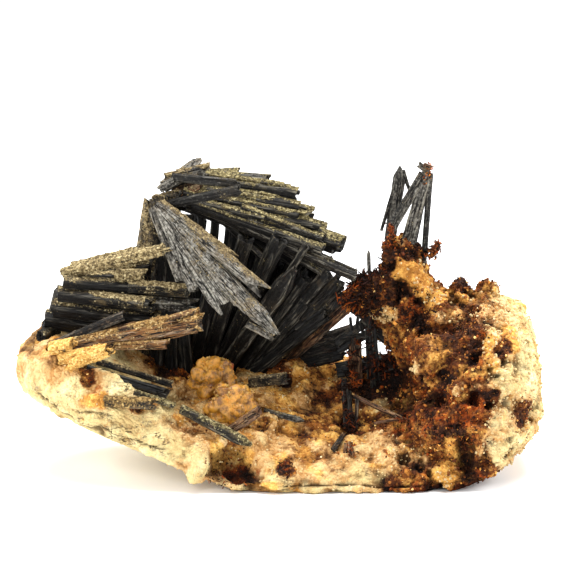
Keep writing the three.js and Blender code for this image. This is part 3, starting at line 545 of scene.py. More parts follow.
def splinters(shell, crystal, facing, rng, number):
    """Thin laths lying along a crystal, each on its own flank and over its own share of the length."""
    start, end = np.array(crystal.start, float), np.array(crystal.end, float)
    axis = unit(end - start)
    side = unit(np.cross(axis, facing))
    face = np.cross(side, axis)
    widths = [crystal.root, 0.97, 0.9 if crystal.tip == "broken" else 0.4]
    spans = ((0, TURN), (0.22, 0.42), (0.02, 0.5), (0.3, 0.6))
    for angle, share, begin, run in zip(*(rng.uniform(*span, number) for span in spans)):
        stop = min(begin + run, 0.98)
        full = 0.37 * np.interp([begin, stop], [0, 0.86, 1], widths)
        off = side * math.sin(angle) * crystal.width + face * math.cos(angle) * crystal.thick
        part = crystal._replace(
            start=start + (end - start) * begin + off * full[0],
            end=start + (end - start) * stop + off * full[1],
            width=share * crystal.width, thick=share * crystal.width * 0.8,
            coat=crystal.coat * rng.uniform(0.3, 1.1), tone=min(1, crystal.tone + rng.uniform(-0.1, 0.25)),
            root=0.5, tip="point" if rng.random() < 0.3 else "broken",
        )
        lath(shell, part, facing, rng, around=9, step=1.1, grooves=1, crust_height=0.08)


GOLDEN = (1 + 5**0.5) / 2
GRAIN_POINTS = unit(np.array([
    (-1, GOLDEN, 0), (1, GOLDEN, 0), (-1, -GOLDEN, 0), (1, -GOLDEN, 0), (0, -1, GOLDEN), (0, 1, GOLDEN),
    (0, -1, -GOLDEN), (0, 1, -GOLDEN), (GOLDEN, 0, -1), (GOLDEN, 0, 1), (-GOLDEN, 0, -1), (-GOLDEN, 0, 1),
]))
GRAIN_FACES = np.array([
    (0, 11, 5), (0, 5, 1), (0, 1, 7), (0, 7, 10), (0, 10, 11), (1, 5, 9), (5, 11, 4), (11, 10, 2), (10, 7, 6),
    (7, 1, 8), (3, 9, 4), (3, 4, 2), (3, 2, 6), (3, 6, 8), (3, 8, 9), (4, 9, 5), (2, 4, 11), (6, 2, 10),
    (8, 6, 7), (9, 8, 1),
])
NO_QUADS = np.zeros((0, 4), int)


def for_points(values, number, count):
    """The numbers of a number of shapes, given once for each of their count points."""
    return {kind: np.repeat(np.broadcast_to(value, number), count) for kind, value in values.items()}


def crumbs(shell, centres, reach, rng, **values):
    """One rough twenty-faced grain at each centre: the corners of an icosahedron, each pushed in or out by
    its own amount, drawn out by a different amount along three axes, turned at random and scaled to the
    grain's reach."""
    number, count = len(centres), len(GRAIN_POINTS)
    turns = rng.normal(size=(number, 3, 3))
    first = unit(turns[:, 0])
    third = unit(np.cross(first, turns[:, 1]))
    turns = np.stack([first, np.cross(third, first), third], axis=1)
    corners = GRAIN_POINTS * rng.uniform(0.72, 1.2, (number, count, 1))
    corners = corners * rng.uniform(0.65, 1.15, (number, 1, 3))
    corners = np.einsum("nij,njk->nik", corners, turns) * np.reshape(reach, (-1, 1, 1)) + centres[:, None]
    faces = GRAIN_FACES + count * np.arange(number)[:, None, None]
    shell.add(corners.reshape(-1, 3), NO_QUADS, faces.reshape(-1, 3), **for_points(values, number, count))


def rods(shell, starts, ends, widths, rng, **values):
    """One slim five-sided rod from each start to each end: rings along a line that bows to one side by a
    share of its length, as a sine, and that narrow towards both ends, closed at a point."""
    number, rows, around, bend = len(starts), 5, 5, 0.12
    run = ends - starts
    length = np.linalg.norm(run, axis=1)[:, None]
    axis = run / length
    side = unit(np.cross(axis, rng.normal(size=(number, 3))))
    over = np.cross(side, axis)
    v = np.linspace(0, 1, rows)
    bow = bend * rng.uniform(-1, 1, number)[:, None] * length * np.sin(math.pi * v)
    bow = bow[..., None] * side[:, None]
    middle = starts[:, None] + run[:, None] * v[None, :, None] + bow
    theta = TURN * np.arange(around) / around
    full = 0.5 * np.reshape(widths, (-1, 1)) * (1 - 0.45 * np.abs(2 * v - 1) ** 3)
    full = full * rng.uniform(0.8, 1.2, (number, rows))
    ring = np.cos(theta)[:, None] * side[:, None, None] + np.sin(theta)[:, None] * over[:, None, None]
    grid = (middle[:, :, None] + full[..., None, None] * ring).reshape(number, -1, 3)
    tips = np.stack([starts - 0.3 * full[:, :1] * axis, ends + 0.8 * full[:, -1:] * axis], axis=1)
    points = np.concatenate([grid, tips], axis=1)
    quads, tris = tube_faces(rows, around)
    count = points.shape[1]
    step = count * np.arange(number)[:, None, None]
    quads, tris = (quads + step).reshape(-1, 4), (tris + step).reshape(-1, 3)
    shell.add(points.reshape(-1, 3), quads, tris, **for_points(values, number, count))


# ---- finishes ----------------------------------------------------------------------------------------------


def linear(code):
    """A colour written as RRGGBB, as the shader's linear numbers."""
    parts = [int(code[k : k + 2], 16) / 255 for k in (0, 2, 4)]
    return [c / 12.92 if c <= 0.04045 else ((c + 0.055) / 1.055) ** 2.4 for c in parts] + [1.0]


class Nodes:
    """A node tree, with short ways to add a node and to join it up."""

    def __init__(self, tree):
        self.tree = tree

    def join(self, value, socket):
        """Another node's output, or a fixed value, into a socket."""
        if isinstance(value, bpy.types.NodeSocket):
            self.tree.links.new(value, socket)
        else:
            socket.default_value = value

    def add(self, kind, inputs=None, **settings):
        node = self.tree.nodes.new("ShaderNode" + kind)
        for key, value in settings.items():
            setattr(node, key, value)
        for key, value in (inputs or {}).items():
            self.join(value, node.inputs[key])
        return node

    def math(self, operation, *values, clamp=False):
        return self.add("Math", dict(enumerate(values)), operation=operation, use_clamp=clamp).outputs[0]

    def plus(self, a, b, clamp=False):
        return self.math("ADD", a, b, clamp=clamp)

    def times(self, a, b):
        return self.math("MULTIPLY", a, b)

    def less_half(self, value):
        return self.math("SUBTRACT", value, 0.5)

    def swing(self, value, gain, onto):
        """How far the value is from a half, times the gain, on top of something."""
        return self.math("MULTIPLY_ADD", self.less_half(value), gain, onto)

    def range(self, value, low, high, to_low=0.0, to_high=1.0):
        names = {"Value": value, "From Min": low, "From Max": high, "To Min": to_low, "To Max": to_high}
        return self.add("MapRange", names, interpolation_type="SMOOTHSTEP").outputs[0]

    def mix(self, share, a, b, blend="MIX"):
        return self.add("Mix", {0: share, 6: a, 7: b}, data_type="RGBA", blend_type=blend).outputs[2]

    def noise(self, vector, scale, detail=3.0, rough=0.55):
        names = {"Vector": vector, "Scale": scale, "Detail": detail, "Roughness": rough}
        return self.add("TexNoise", names).outputs["Fac"]

    def cells(self, vector, scale):
        """Round cells: a random number for each, and the distance from its middle."""
        grid = self.add("TexVoronoi", {"Vector": vector, "Scale": scale}).outputs
        return self.add("SeparateColor", {0: grid["Color"]}).outputs[0], grid["Distance"]

    def mapped(self, vector, **settings):
        return self.add("Mapping", {"Vector": vector, **settings}).outputs[0]

    def attribute(self, name):
        return self.add("Attribute", attribute_name=name).outputs["Fac"]

    def ramp(self, value, stops):
        """A colour for each number: stops are pairs of a place from 0 to 1 and a colour."""
        node = self.add("ValToRGB", {0: value})
        elements = node.color_ramp.elements
        while len(elements) < len(stops):
            elements.new(0.5)
        for element, (at, code) in zip(elements, stops):
            element.position, element.color = at, linear(code)
        return node.outputs[0]

    def place(self):
        return self.add("TexCoord").outputs["Object"]

    def placed(self, tree, **inputs):
        return self.add("Group", inputs, node_tree=tree).outputs

    def blotches(self, amount, size, edge):
        """Where the attribute's blotches are: their size in millimetres and how soft their edges are."""
        return self.placed(BLOTCHES, Amount=self.attribute(amount), Size=size, Edge=edge)["Mask"]


class Group(Nodes):
    """A shader node group with named outputs, and named inputs with their defaults: numbers, or four of them
    for a colour."""

    def __init__(self, name, outputs, **inputs):
        super().__init__(bpy.data.node_groups.new(name, "ShaderNodeTree"))
        for title, default in inputs.items():
            kind = "Color" if isinstance(default, list) else "Float"
            self.socket(title, "INPUT", kind).default_value = default
        for title in outputs.split():
            self.socket(title, "OUTPUT", "Color" if title == "Color" else "Float")
        self.given = self.tree.nodes.new("NodeGroupInput").outputs

    def socket(self, title, way, kind):
        return self.tree.interface.new_socket(title, in_out=way, socket_type="NodeSocket" + kind)

    def out(self, **outputs):
        """The group, once these values are joined to its outputs."""
        way_out = self.tree.nodes.new("NodeGroupOutput").inputs
        for title, value in outputs.items():
            self.join(value, way_out[title])
        return self.tree


def striations_group():
    """Streaks along a crystal: noise drawn out along the grain, at two widths, with a painted glint."""
    shades = {"Dark": linear("1c1a18"), "Light": linear("7a7976")}
    nodes = Group("striations", "Color Streaks Cracks", **shades, Tone=0.5)
    tone = nodes.given["Tone"]
    grain = nodes.add("UVMap", uv_map="grain").outputs[0]
    wide = nodes.mapped(grain, Scale=(2.4, 0.24, 1))
    fine = nodes.mapped(grain, Scale=(7.5, 0.6, 1))
    pitted = nodes.noise(nodes.place(), 2600.0, 2)
    streaks = nodes.plus(nodes.times(nodes.noise(wide, 1.0), 0.5), nodes.times(nodes.noise(fine, 1.0), 0.5))
    uneven = nodes.swing(pitted, 1.1, nodes.times(streaks, 0.45))
    level = nodes.plus(uneven, nodes.math("MULTIPLY_ADD", tone, 0.5, 0.02))
    skin = nodes.mix(nodes.range(level, 0.3, 0.78), nodes.given["Dark"], nodes.given["Light"])
    # A painted glint: a light grey laid on the lightest streaks, more on lighter crystals.
    painted_glint = nodes.times(nodes.range(level, 0.62, 0.84, 0.0, 0.5), tone)
    split = nodes.noise(nodes.mapped(grain, Scale=(2.6, 0.16, 1), Location=(9, 4, 0)), 1.0, 2, 0.5)
    across = nodes.noise(nodes.mapped(grain, Scale=(0.7, 4.5, 1), Location=(3, 8, 0)), 1.0, 3, 0.6)
    long_crack = nodes.range(nodes.math("ABSOLUTE", nodes.less_half(split)), 0.012, 0.055, 1.0, 0.0)
    long_crack = nodes.times(long_crack, nodes.range(nodes.noise(wide, 1.7, 2), 0.36, 0.5))
    cross_crack = nodes.times(nodes.range(across, 0.64, 0.69), 0.8)
    return nodes.out(
        Color=nodes.mix(painted_glint, skin, linear("b9b6ac")), Streaks=streaks,
        Cracks=nodes.math("MAXIMUM", long_crack, cross_crack),
    )


def grains_group():
    """A granular crust: rounded grains of random shade, in patches where the amount is high enough."""
    nodes = Group("grains", "Mask Shade Height", Amount=0.5, Size=0.5)
    place = nodes.place()
    scale = nodes.math("DIVIDE", 1000.0, nodes.given["Size"])
    tint, distance = nodes.cells(place, scale)
    ragged = nodes.noise(place, scale)
    level = nodes.swing(ragged, 1.2, nodes.given["Amount"])
    level = nodes.swing(nodes.noise(place, 420.0), 0.9, level)
    level = nodes.swing(tint, 0.2, level)
    speckle = nodes.swing(ragged, 1.5, 0.5)
    return nodes.out(
        Mask=nodes.range(level, 0.3, 0.66),
        Shade=nodes.plus(nodes.times(tint, 0.5), nodes.times(speckle, 0.5), clamp=True),
        Height=nodes.math("SUBTRACT", 1.0, distance, clamp=True),
    )


def blotches_group():
    """Patches with ragged edges: broad noise, cut off where it and the amount come to one."""
    nodes = Group("blotches", "Mask", Size=4.0, Amount=0.5, Edge=0.1)
    edge = nodes.given["Edge"]
    broad = nodes.noise(nodes.place(), nodes.math("DIVIDE", 1000.0, nodes.given["Size"]), 5, 0.62)
    low, high = (nodes.math("MULTIPLY_ADD", edge, half, 1.0) for half in (-0.5, 0.5))
    return nodes.out(Mask=nodes.range(nodes.plus(broad, nodes.given["Amount"]), low, high))


STRIATIONS, GRAINS, BLOTCHES = striations_group(), grains_group(), blotches_group()


class Finish(Nodes):
    """A material whose Principled shader has these fixed values."""

    def __init__(self, name, **values):
        self.material = bpy.data.materials.new(name)
        self.material.use_nodes = True
        super().__init__(self.material.node_tree)
        self.shader = self.tree.nodes["Principled BSDF"]
        for title, value in values.items():
            self.shader.inputs[title.replace("_", " ")].default_value = value

    def dress(self, skin, rough, height, strength, distance):
        """The material, once its colour, roughness and relief are joined to the shader."""
        bump = self.add("Bump", {"Height": height, "Strength": strength, "Distance": distance}).outputs[0]
        for title, value in (("Base Color", skin), ("Roughness", rough), ("Normal", bump)):
            self.join(value, self.shader.inputs[title])
        return self.material


def stibnite(name, dark, light, crust_shades, rust_shades="1e110a 5a3a26 9c7a55", metal=0.12):
    """Striated grey metal with short dark cracks, a painted highlight along its ridges and painted shade in
    its grooves, dusted with the crust's colour, brown where the crystal is rusty, and under a granular crust."""
    nodes = Finish(name, Metallic=metal, Specular_IOR_Level=0.2)
    shades = crust_shades.split()
    tone, coat = nodes.attribute("tone"), nodes.attribute("coat")
    metal_skin = nodes.placed(STRIATIONS, Dark=linear(dark), Light=linear(light), Tone=tone)
    streaks, cracks = metal_skin["Streaks"], metal_skin["Cracks"]
    crust = nodes.placed(GRAINS, Amount=coat, Size=0.28)
    rusty = nodes.ramp(streaks, list(zip((0.34, 0.5, 0.66), rust_shades.split())))
    skin = nodes.mix(nodes.blotches("rust", 2.2, 0.35), metal_skin["Color"], rusty)
    # Painted highlight: a light grey along the ridges, stronger on the lighter streaks and lighter crystals.
    edge = nodes.times(nodes.range(streaks, 0.42, 0.6), nodes.range(tone, 0.0, 0.6, 0.2, 0.7))
    skin = nodes.mix(nodes.times(nodes.attribute("ridge"), edge), skin, linear("8d8778"))
    dust = nodes.range(nodes.noise(nodes.place(), 800.0, 4, 0.65), 0.42, 0.66, 0.0, 0.7)
    skin = nodes.mix(nodes.times(dust, nodes.range(coat, 0.0, 0.35)), skin, linear(shades[1]))
    skin = nodes.mix(cracks, skin, linear("060403"))
    # Painted shade: the grooves darkened towards black.
    skin = nodes.mix(nodes.times(nodes.attribute("groove"), 0.85), skin, linear("080604"))
    grains = nodes.ramp(crust["Shade"], list(zip((0.08, 0.36, 0.64, 0.92), shades)))
    skin = nodes.mix(crust["Mask"], skin, grains)
    dull = nodes.math("MULTIPLY_ADD", crust["Mask"], 0.3, 0.42)
    rough = nodes.math("MULTIPLY_ADD", streaks, 0.2, dull, clamp=True)
    relief = nodes.math("MULTIPLY_ADD", streaks, 0.4, nodes.times(cracks, -0.5))
    relief = nodes.plus(relief, nodes.times(nodes.times(crust["Height"], crust["Mask"]), 0.9))
    return nodes.dress(skin, rough, relief, strength=0.9, distance=0.00026)


OLIVE, TAN = "1d170e 4a3f26 82764f b8ac85", "2f2617 62523a 8d7c58 baa982"
STIBNITE = {
    "grey_stibnite": stibnite("grey_stibnite", "161513", "716d65", TAN, metal=0.25),
    # Nearly black metal, mostly for crystals that stand in shade deep in the sprays: painted shade.
    "dark_stibnite": stibnite("dark_stibnite", "020202", "27231e", TAN),
    # Its bare metal is kept dark for the shade between the crusted tops: partly painted shade.
    "crusted_stibnite": stibnite("crusted_stibnite", "040302", "2d2923", OLIVE),
    "rusty_stibnite": stibnite("rusty_stibnite", "0a0705", "4d443c", "24160a 5e4224 8f6a3c c8a068"),
}
OWN_CRUST = {
    "left_gold_blade": stibnite("gold_crust", "3a2810", "7a5c30", "8c602a b98a45 d6ad62 ecd494"),
    "left_stout_spray": stibnite(
        "stout_crust", "0c0806", "5c4c3c", "30200f 74552e a3814c d2c092", "170c05 69411f a67d4c"
    ),
    "front_fuzzy_blade": stibnite("fuzzy_crust", "0a0704", "4a4030", "281b0d 5e4828 8f7344 c4a970"),
    # Near-black bare metal for the shade under and between the ledge's blades: partly painted shade.
    "left_ledge_spray": stibnite("ledge_crust", "030202", "221f1b", "2a2216 605136 9c8a62 d4c69c"),
}

EARTH = (
    (0.0, "0c0402"), (0.3, "291206"), (0.53, "532a10"), (0.72, "8b5320"), (0.88, "c2863b"), (1.0, "e6c078")
)
GROUNDS = (  # one over the other: the attribute that says where, the blotches' size and edge, and the shades
    ("stain", 3.2, 0.3, ((0.1, "6e4824"), (0.42, "ac7e48"), (0.75, "d6b07a"))),
    ("earth", 2.6, 0.22, EARTH),
    ("ochre", 2.4, 0.22, ((0.1, "6c4119"), (0.42, "b07734"), (0.74, "e2b15c"), (1.0, "f6d88e"))),
    ("rust", 2.0, 0.25, ((0.1, "3f1405"), (0.5, "86390d"), (0.95, "cb7a2d"))),
    ("dark", 1.6, 0.2, ((0.2, "0c0503"), (0.6, "2a140a"), (1.0, "6b4226"))),
)


def rock_finish():
    """Pale rock under tan, brown, yellow, orange and near-black ground, grain by grain, painted lighter
    where it is raised, with thin dark cracks, grey specks and painted shade in its hollows."""
    nodes = Finish("pale_rock", Metallic=0.0, Specular_IOR_Level=0.12)
    place = nodes.place()
    fine = nodes.noise(place, 1300.0, 4, 0.65)
    pick, grit = nodes.cells(place, 2300.0)
    mixed = nodes.swing(nodes.noise(place, 330.0, 5, 0.65), 1.5, 0.5)
    shade = nodes.plus(nodes.times(pick, 0.28), nodes.times(mixed, 0.32))
    # Lighter where the light attribute says the ground is raised: painted light.
    shade = nodes.math("MULTIPLY_ADD", nodes.attribute("light"), 0.4, shade, clamp=True)
    skin = nodes.ramp(mixed, ((0.1, "94764a"), (0.35, "c4ab74"), (0.6, "d9c792"), (0.9, "e8dab0")))
    for kind, size, edge, stops in GROUNDS:
        skin = nodes.mix(nodes.blotches(kind, size, edge), skin, nodes.ramp(shade, stops))
    stretched = nodes.mapped(place, Rotation=(0, 0.25, 0), Scale=(0.3, 1, 1))
    vein = nodes.math("ABSOLUTE", nodes.less_half(nodes.noise(stretched, 520.0, 4, 0.6)))
    line = nodes.range(vein, 0.0, 0.016, 1.0, 0.0)
    line = nodes.times(line, nodes.range(nodes.noise(place, 190.0), 0.5, 0.62))
    line = nodes.times(line, nodes.attribute("veined"))
    skin = nodes.mix(line, skin, linear("4a3826"))
    specks = nodes.placed(GRAINS, Amount=nodes.attribute("speck"), Size=0.5)["Mask"]
    skin = nodes.mix(specks, skin, nodes.ramp(pick, ((0.2, "4e4136"), (0.8, "8a7a62"))))
    # Painted shade: hollows, cracks, creases and the foot's step multiplied towards deep brown.
    hollow_shade = nodes.range(nodes.attribute("hollow_shade"), 0.15, 0.9, 0.0, 0.92)
    skin = nodes.mix(hollow_shade, skin, nodes.mix(0.85, skin, linear("2a1206"), blend="MULTIPLY"))
    relief = nodes.plus(nodes.times(fine, 0.6), nodes.times(grit, -0.6))
    relief = nodes.math("MULTIPLY_ADD", line, -0.5, relief)
    rough = nodes.range(fine, 0.2, 0.8, 0.6, 0.95)
    return nodes.dress(skin, rough, relief, strength=1.0, distance=0.0005)


def crumb_finish():
    """Loose grains and rods: each has its own shade of brown, of red-orange where it is rusty, or of tan
    where it is coated."""
    nodes = Finish("loose_grains", Metallic=0.0, Specular_IOR_Level=0.15)
    fine = nodes.noise(nodes.place(), 1700.0, 3, 0.6)
    shade = nodes.plus(nodes.attribute("tone"), nodes.math("MULTIPLY_ADD", fine, 0.5, -0.25), clamp=True)
    orange = nodes.ramp(shade, ((0.0, "2c0d04"), (0.5, "98430f"), (1.0, "e6a04a")))
    tan = nodes.ramp(shade, ((0.0, "8a6c42"), (0.5, "c6ab74"), (1.0, "e6d8b0")))
    skin = nodes.mix(nodes.attribute("rust"), nodes.ramp(shade, EARTH), orange)
    skin = nodes.mix(nodes.attribute("coat"), skin, tan)
    rough = nodes.range(fine, 0.2, 0.8, 0.45, 0.85)
    return nodes.dress(skin, rough, fine, strength=0.6, distance=0.0002)


def amber_finish():
    """Honey-coloured crystal that lets light through, cloudy and sugary, with orange spots."""
    nodes = Finish("amber_crystal", Metallic=0.0, Transmission_Weight=0.55, IOR=1.5)
    place = nodes.place()
    cloudy, sugary = nodes.noise(place, 500.0, 4, 0.6), nodes.noise(place, 1600.0, 5, 0.7)
    honey = nodes.mix(nodes.range(nodes.plus(cloudy, sugary), 0.84, 1.14), linear("7e4204"), linear("f4ae34"))
    honey = nodes.mix(nodes.times(nodes.attribute("tone"), 0.8), honey, linear("f4ce6c"))
    skin = nodes.mix(nodes.blotches("rust", 2.0, 0.2), honey, linear("b4581c"))
    rough = nodes.range(cloudy, 0.2, 0.8, 0.25, 0.5)
    return nodes.dress(skin, rough, sugary, strength=0.4, distance=0.0003)


ROCK, CRUMBS, AMBER = rock_finish(), crumb_finish(), amber_finish()

# ---- building the crystals ---------------------------------------------------------------------------------

EXTRA_SPLINTERS = {"inner_curtain": 1, "roof_sheaf": 3, "central_fan": -2}
SPLINTERED_WIDTH = 1.1  # narrower crystals have no splinters
CRUST_GRAINS = 0.12  # loose grains on each point of thick crust

for number, (name, (facing, slot, rows)) in enumerate(SPRAYS.items()):
    rng = np.random.default_rng(100 + number)
    shell = Shell()
    for row in rows:
        crystal = Crystal(row[:3], row[3:6], *row[6:])
        around = int(np.clip(14 * (crystal.width + crystal.thick) ** 0.75, 14, 40))
        lath(shell, crystal, facing, rng, around=around, grooves=4 + int(2 * crystal.width))
        if crystal.width > SPLINTERED_WIDTH:
            splinters(shell, crystal, facing, rng, 3 + int(crystal.width) + EXTRA_SPLINTERS.get(name, 0))
    places, away, share = (np.concatenate(part) for part in zip(*shell.crusted))
    picked = rng.random(len(share)) < CRUST_GRAINS * share
    reach = rng.uniform(0.07, 0.2, picked.sum())
    crumbs(shell, places[picked] + away[picked] * reach[:, None] * 0.3, reach, rng, coat=1.3, tone=0.5)
    shell.build(name + "_crystals", OWN_CRUST.get(name, STIBNITE[slot]), slot, name)

# ---- rock --------------------------------------------------------------------------------------------------

VOXEL = 0.34  # of the rock's skin, before it is roughened
WELD = 1e-6  # metres


def rock_skin():
    """The matrix node as an even closed skin: its points, its outward directions and its mesh."""
    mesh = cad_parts["matrix"].data.copy()
    welded = bmesh.new()
    welded.from_mesh(mesh)
    bmesh.ops.remove_doubles(welded, verts=welded.verts, dist=WELD)
    welded.to_mesh(mesh)
    welded.free()
    helper = bpy.data.objects.new("matrix_skin", mesh)
    bpy.context.scene.collection.objects.link(helper)
    remesh = helper.modifiers.new("even", "REMESH")
    remesh.mode, remesh.voxel_size, remesh.use_smooth_shade = "VOXEL", VOXEL * MM, True
    soften = helper.modifiers.new("soft", "SMOOTH")
    soften.factor, soften.iterations = 0.5, 3
    skin = bpy.data.meshes.new_from_object(helper.evaluated_get(bpy.context.evaluated_depsgraph_get()))
    bpy.data.objects.remove(helper)
    points, outward = np.zeros((2, 3 * len(skin.vertices)), np.float32)
    skin.vertices.foreach_get("co", points)
    skin.vertex_normals.foreach_get("vector", outward)
    return points.reshape(-1, 3) / MM - SHIFT, outward.reshape(-1, 3).astype(float), skin


def near(points, centre, reach, edge=0.5):
    """1 inside an ellipsoid of half-widths reach and 0 outside, fading over its last share, edge."""
    distance = np.linalg.norm((points - np.array(centre)) / np.array(reach), axis=-1)
    return 1 - smooth(1 - edge, 1 + edge, distance)


points, outward, skin = rock_skin()
X, Y, Z = points.T

# Where each kind of ground is.
edge_of_crag = X + (1 + 9 * smooth(0, 8, Y)) * waves(points, 8, 81, 3)
edge_of_rim = X + 0.15 * (Z - 12) + (2 + 6 * smooth(0, 8, Y)) * waves(points, 8, 82, 3)
beak = near(points, (13.5, 2, 26), (5, 5, 6))
crag = np.maximum(smooth(13, 18, edge_of_crag) * (1 - 0.8 * smooth(32, 36, X)), beak)
right_rim = smooth(31, 34.5, edge_of_rim) * smooth(0.5, 2.5, Z + 1.2 * (X - 33))
left_wall = smooth(-13, -19, X) * smooth(17.5, 15, Z + 0.25 * (Y + 12))
trough = (1 - np.maximum(crag, smooth(-15, -24, X))) * smooth(-15.5, -12, Y) * smooth(0.0, 0.4, outward[:, 2])
front_lip = smooth(-12.5, -15.5, Y) * (1 - left_wall) * (1 - crag)

# Kinds of ground, as how much of it is covered with tan, brown earth, ochre, rust and black: half at 0.5.
KINDS = {
    "cream": (0.38, 0.2, 0.28, 0.12, 0.08),
    "straw": (0.5, 0.25, 0.5, 0.15, 0.12),
    "peach": (0.6, 0.28, 0.36, 0.3, 0.12),
    "tan": (0.85, 0.42, 0.4, 0.28, 0.22),
    "olive": (0.85, 0.58, 0.52, 0.25, 0.32),
    "gold": (0.8, 0.4, 0.72, 0.25, 0.14),
    "yellow": (0.5, 0.2, 1.1, 0.15, 0.04),
    "brown": (0.9, 0.72, 0.38, 0.36, 0.42),
    "red": (0.9, 0.7, 0.25, 0.6, 0.38),
    "maroon": (0.9, 0.78, 0.2, 0.5, 0.5),
    "black": (0.9, 0.8, 0.2, 0.3, 0.64),
    "wall": (0.34, 0.16, 0.3, 0.12, 0.06),
    "floor": (0.68, 0.46, 0.46, 0.22, 0.27),
    "sand": (0.58, 0.4, 0.38, 0.16, 0.2),
    "drab": (0.86, 0.58, 0.46, 0.2, 0.3),
    "honey": (0.85, 0.5, 0.62, 0.38, 0.24),
    "rim": (0.4, 0.2, 0.44, 0.14, 0.07),
    "lip": (0.5, 0.3, 0.38, 0.2, 0.16),
    "crag": (0.92, 0.66, 0.42, 0.44, 0.42),
    "back": (0.5, 0.36, 0.32, 0.26, 0.2),
}

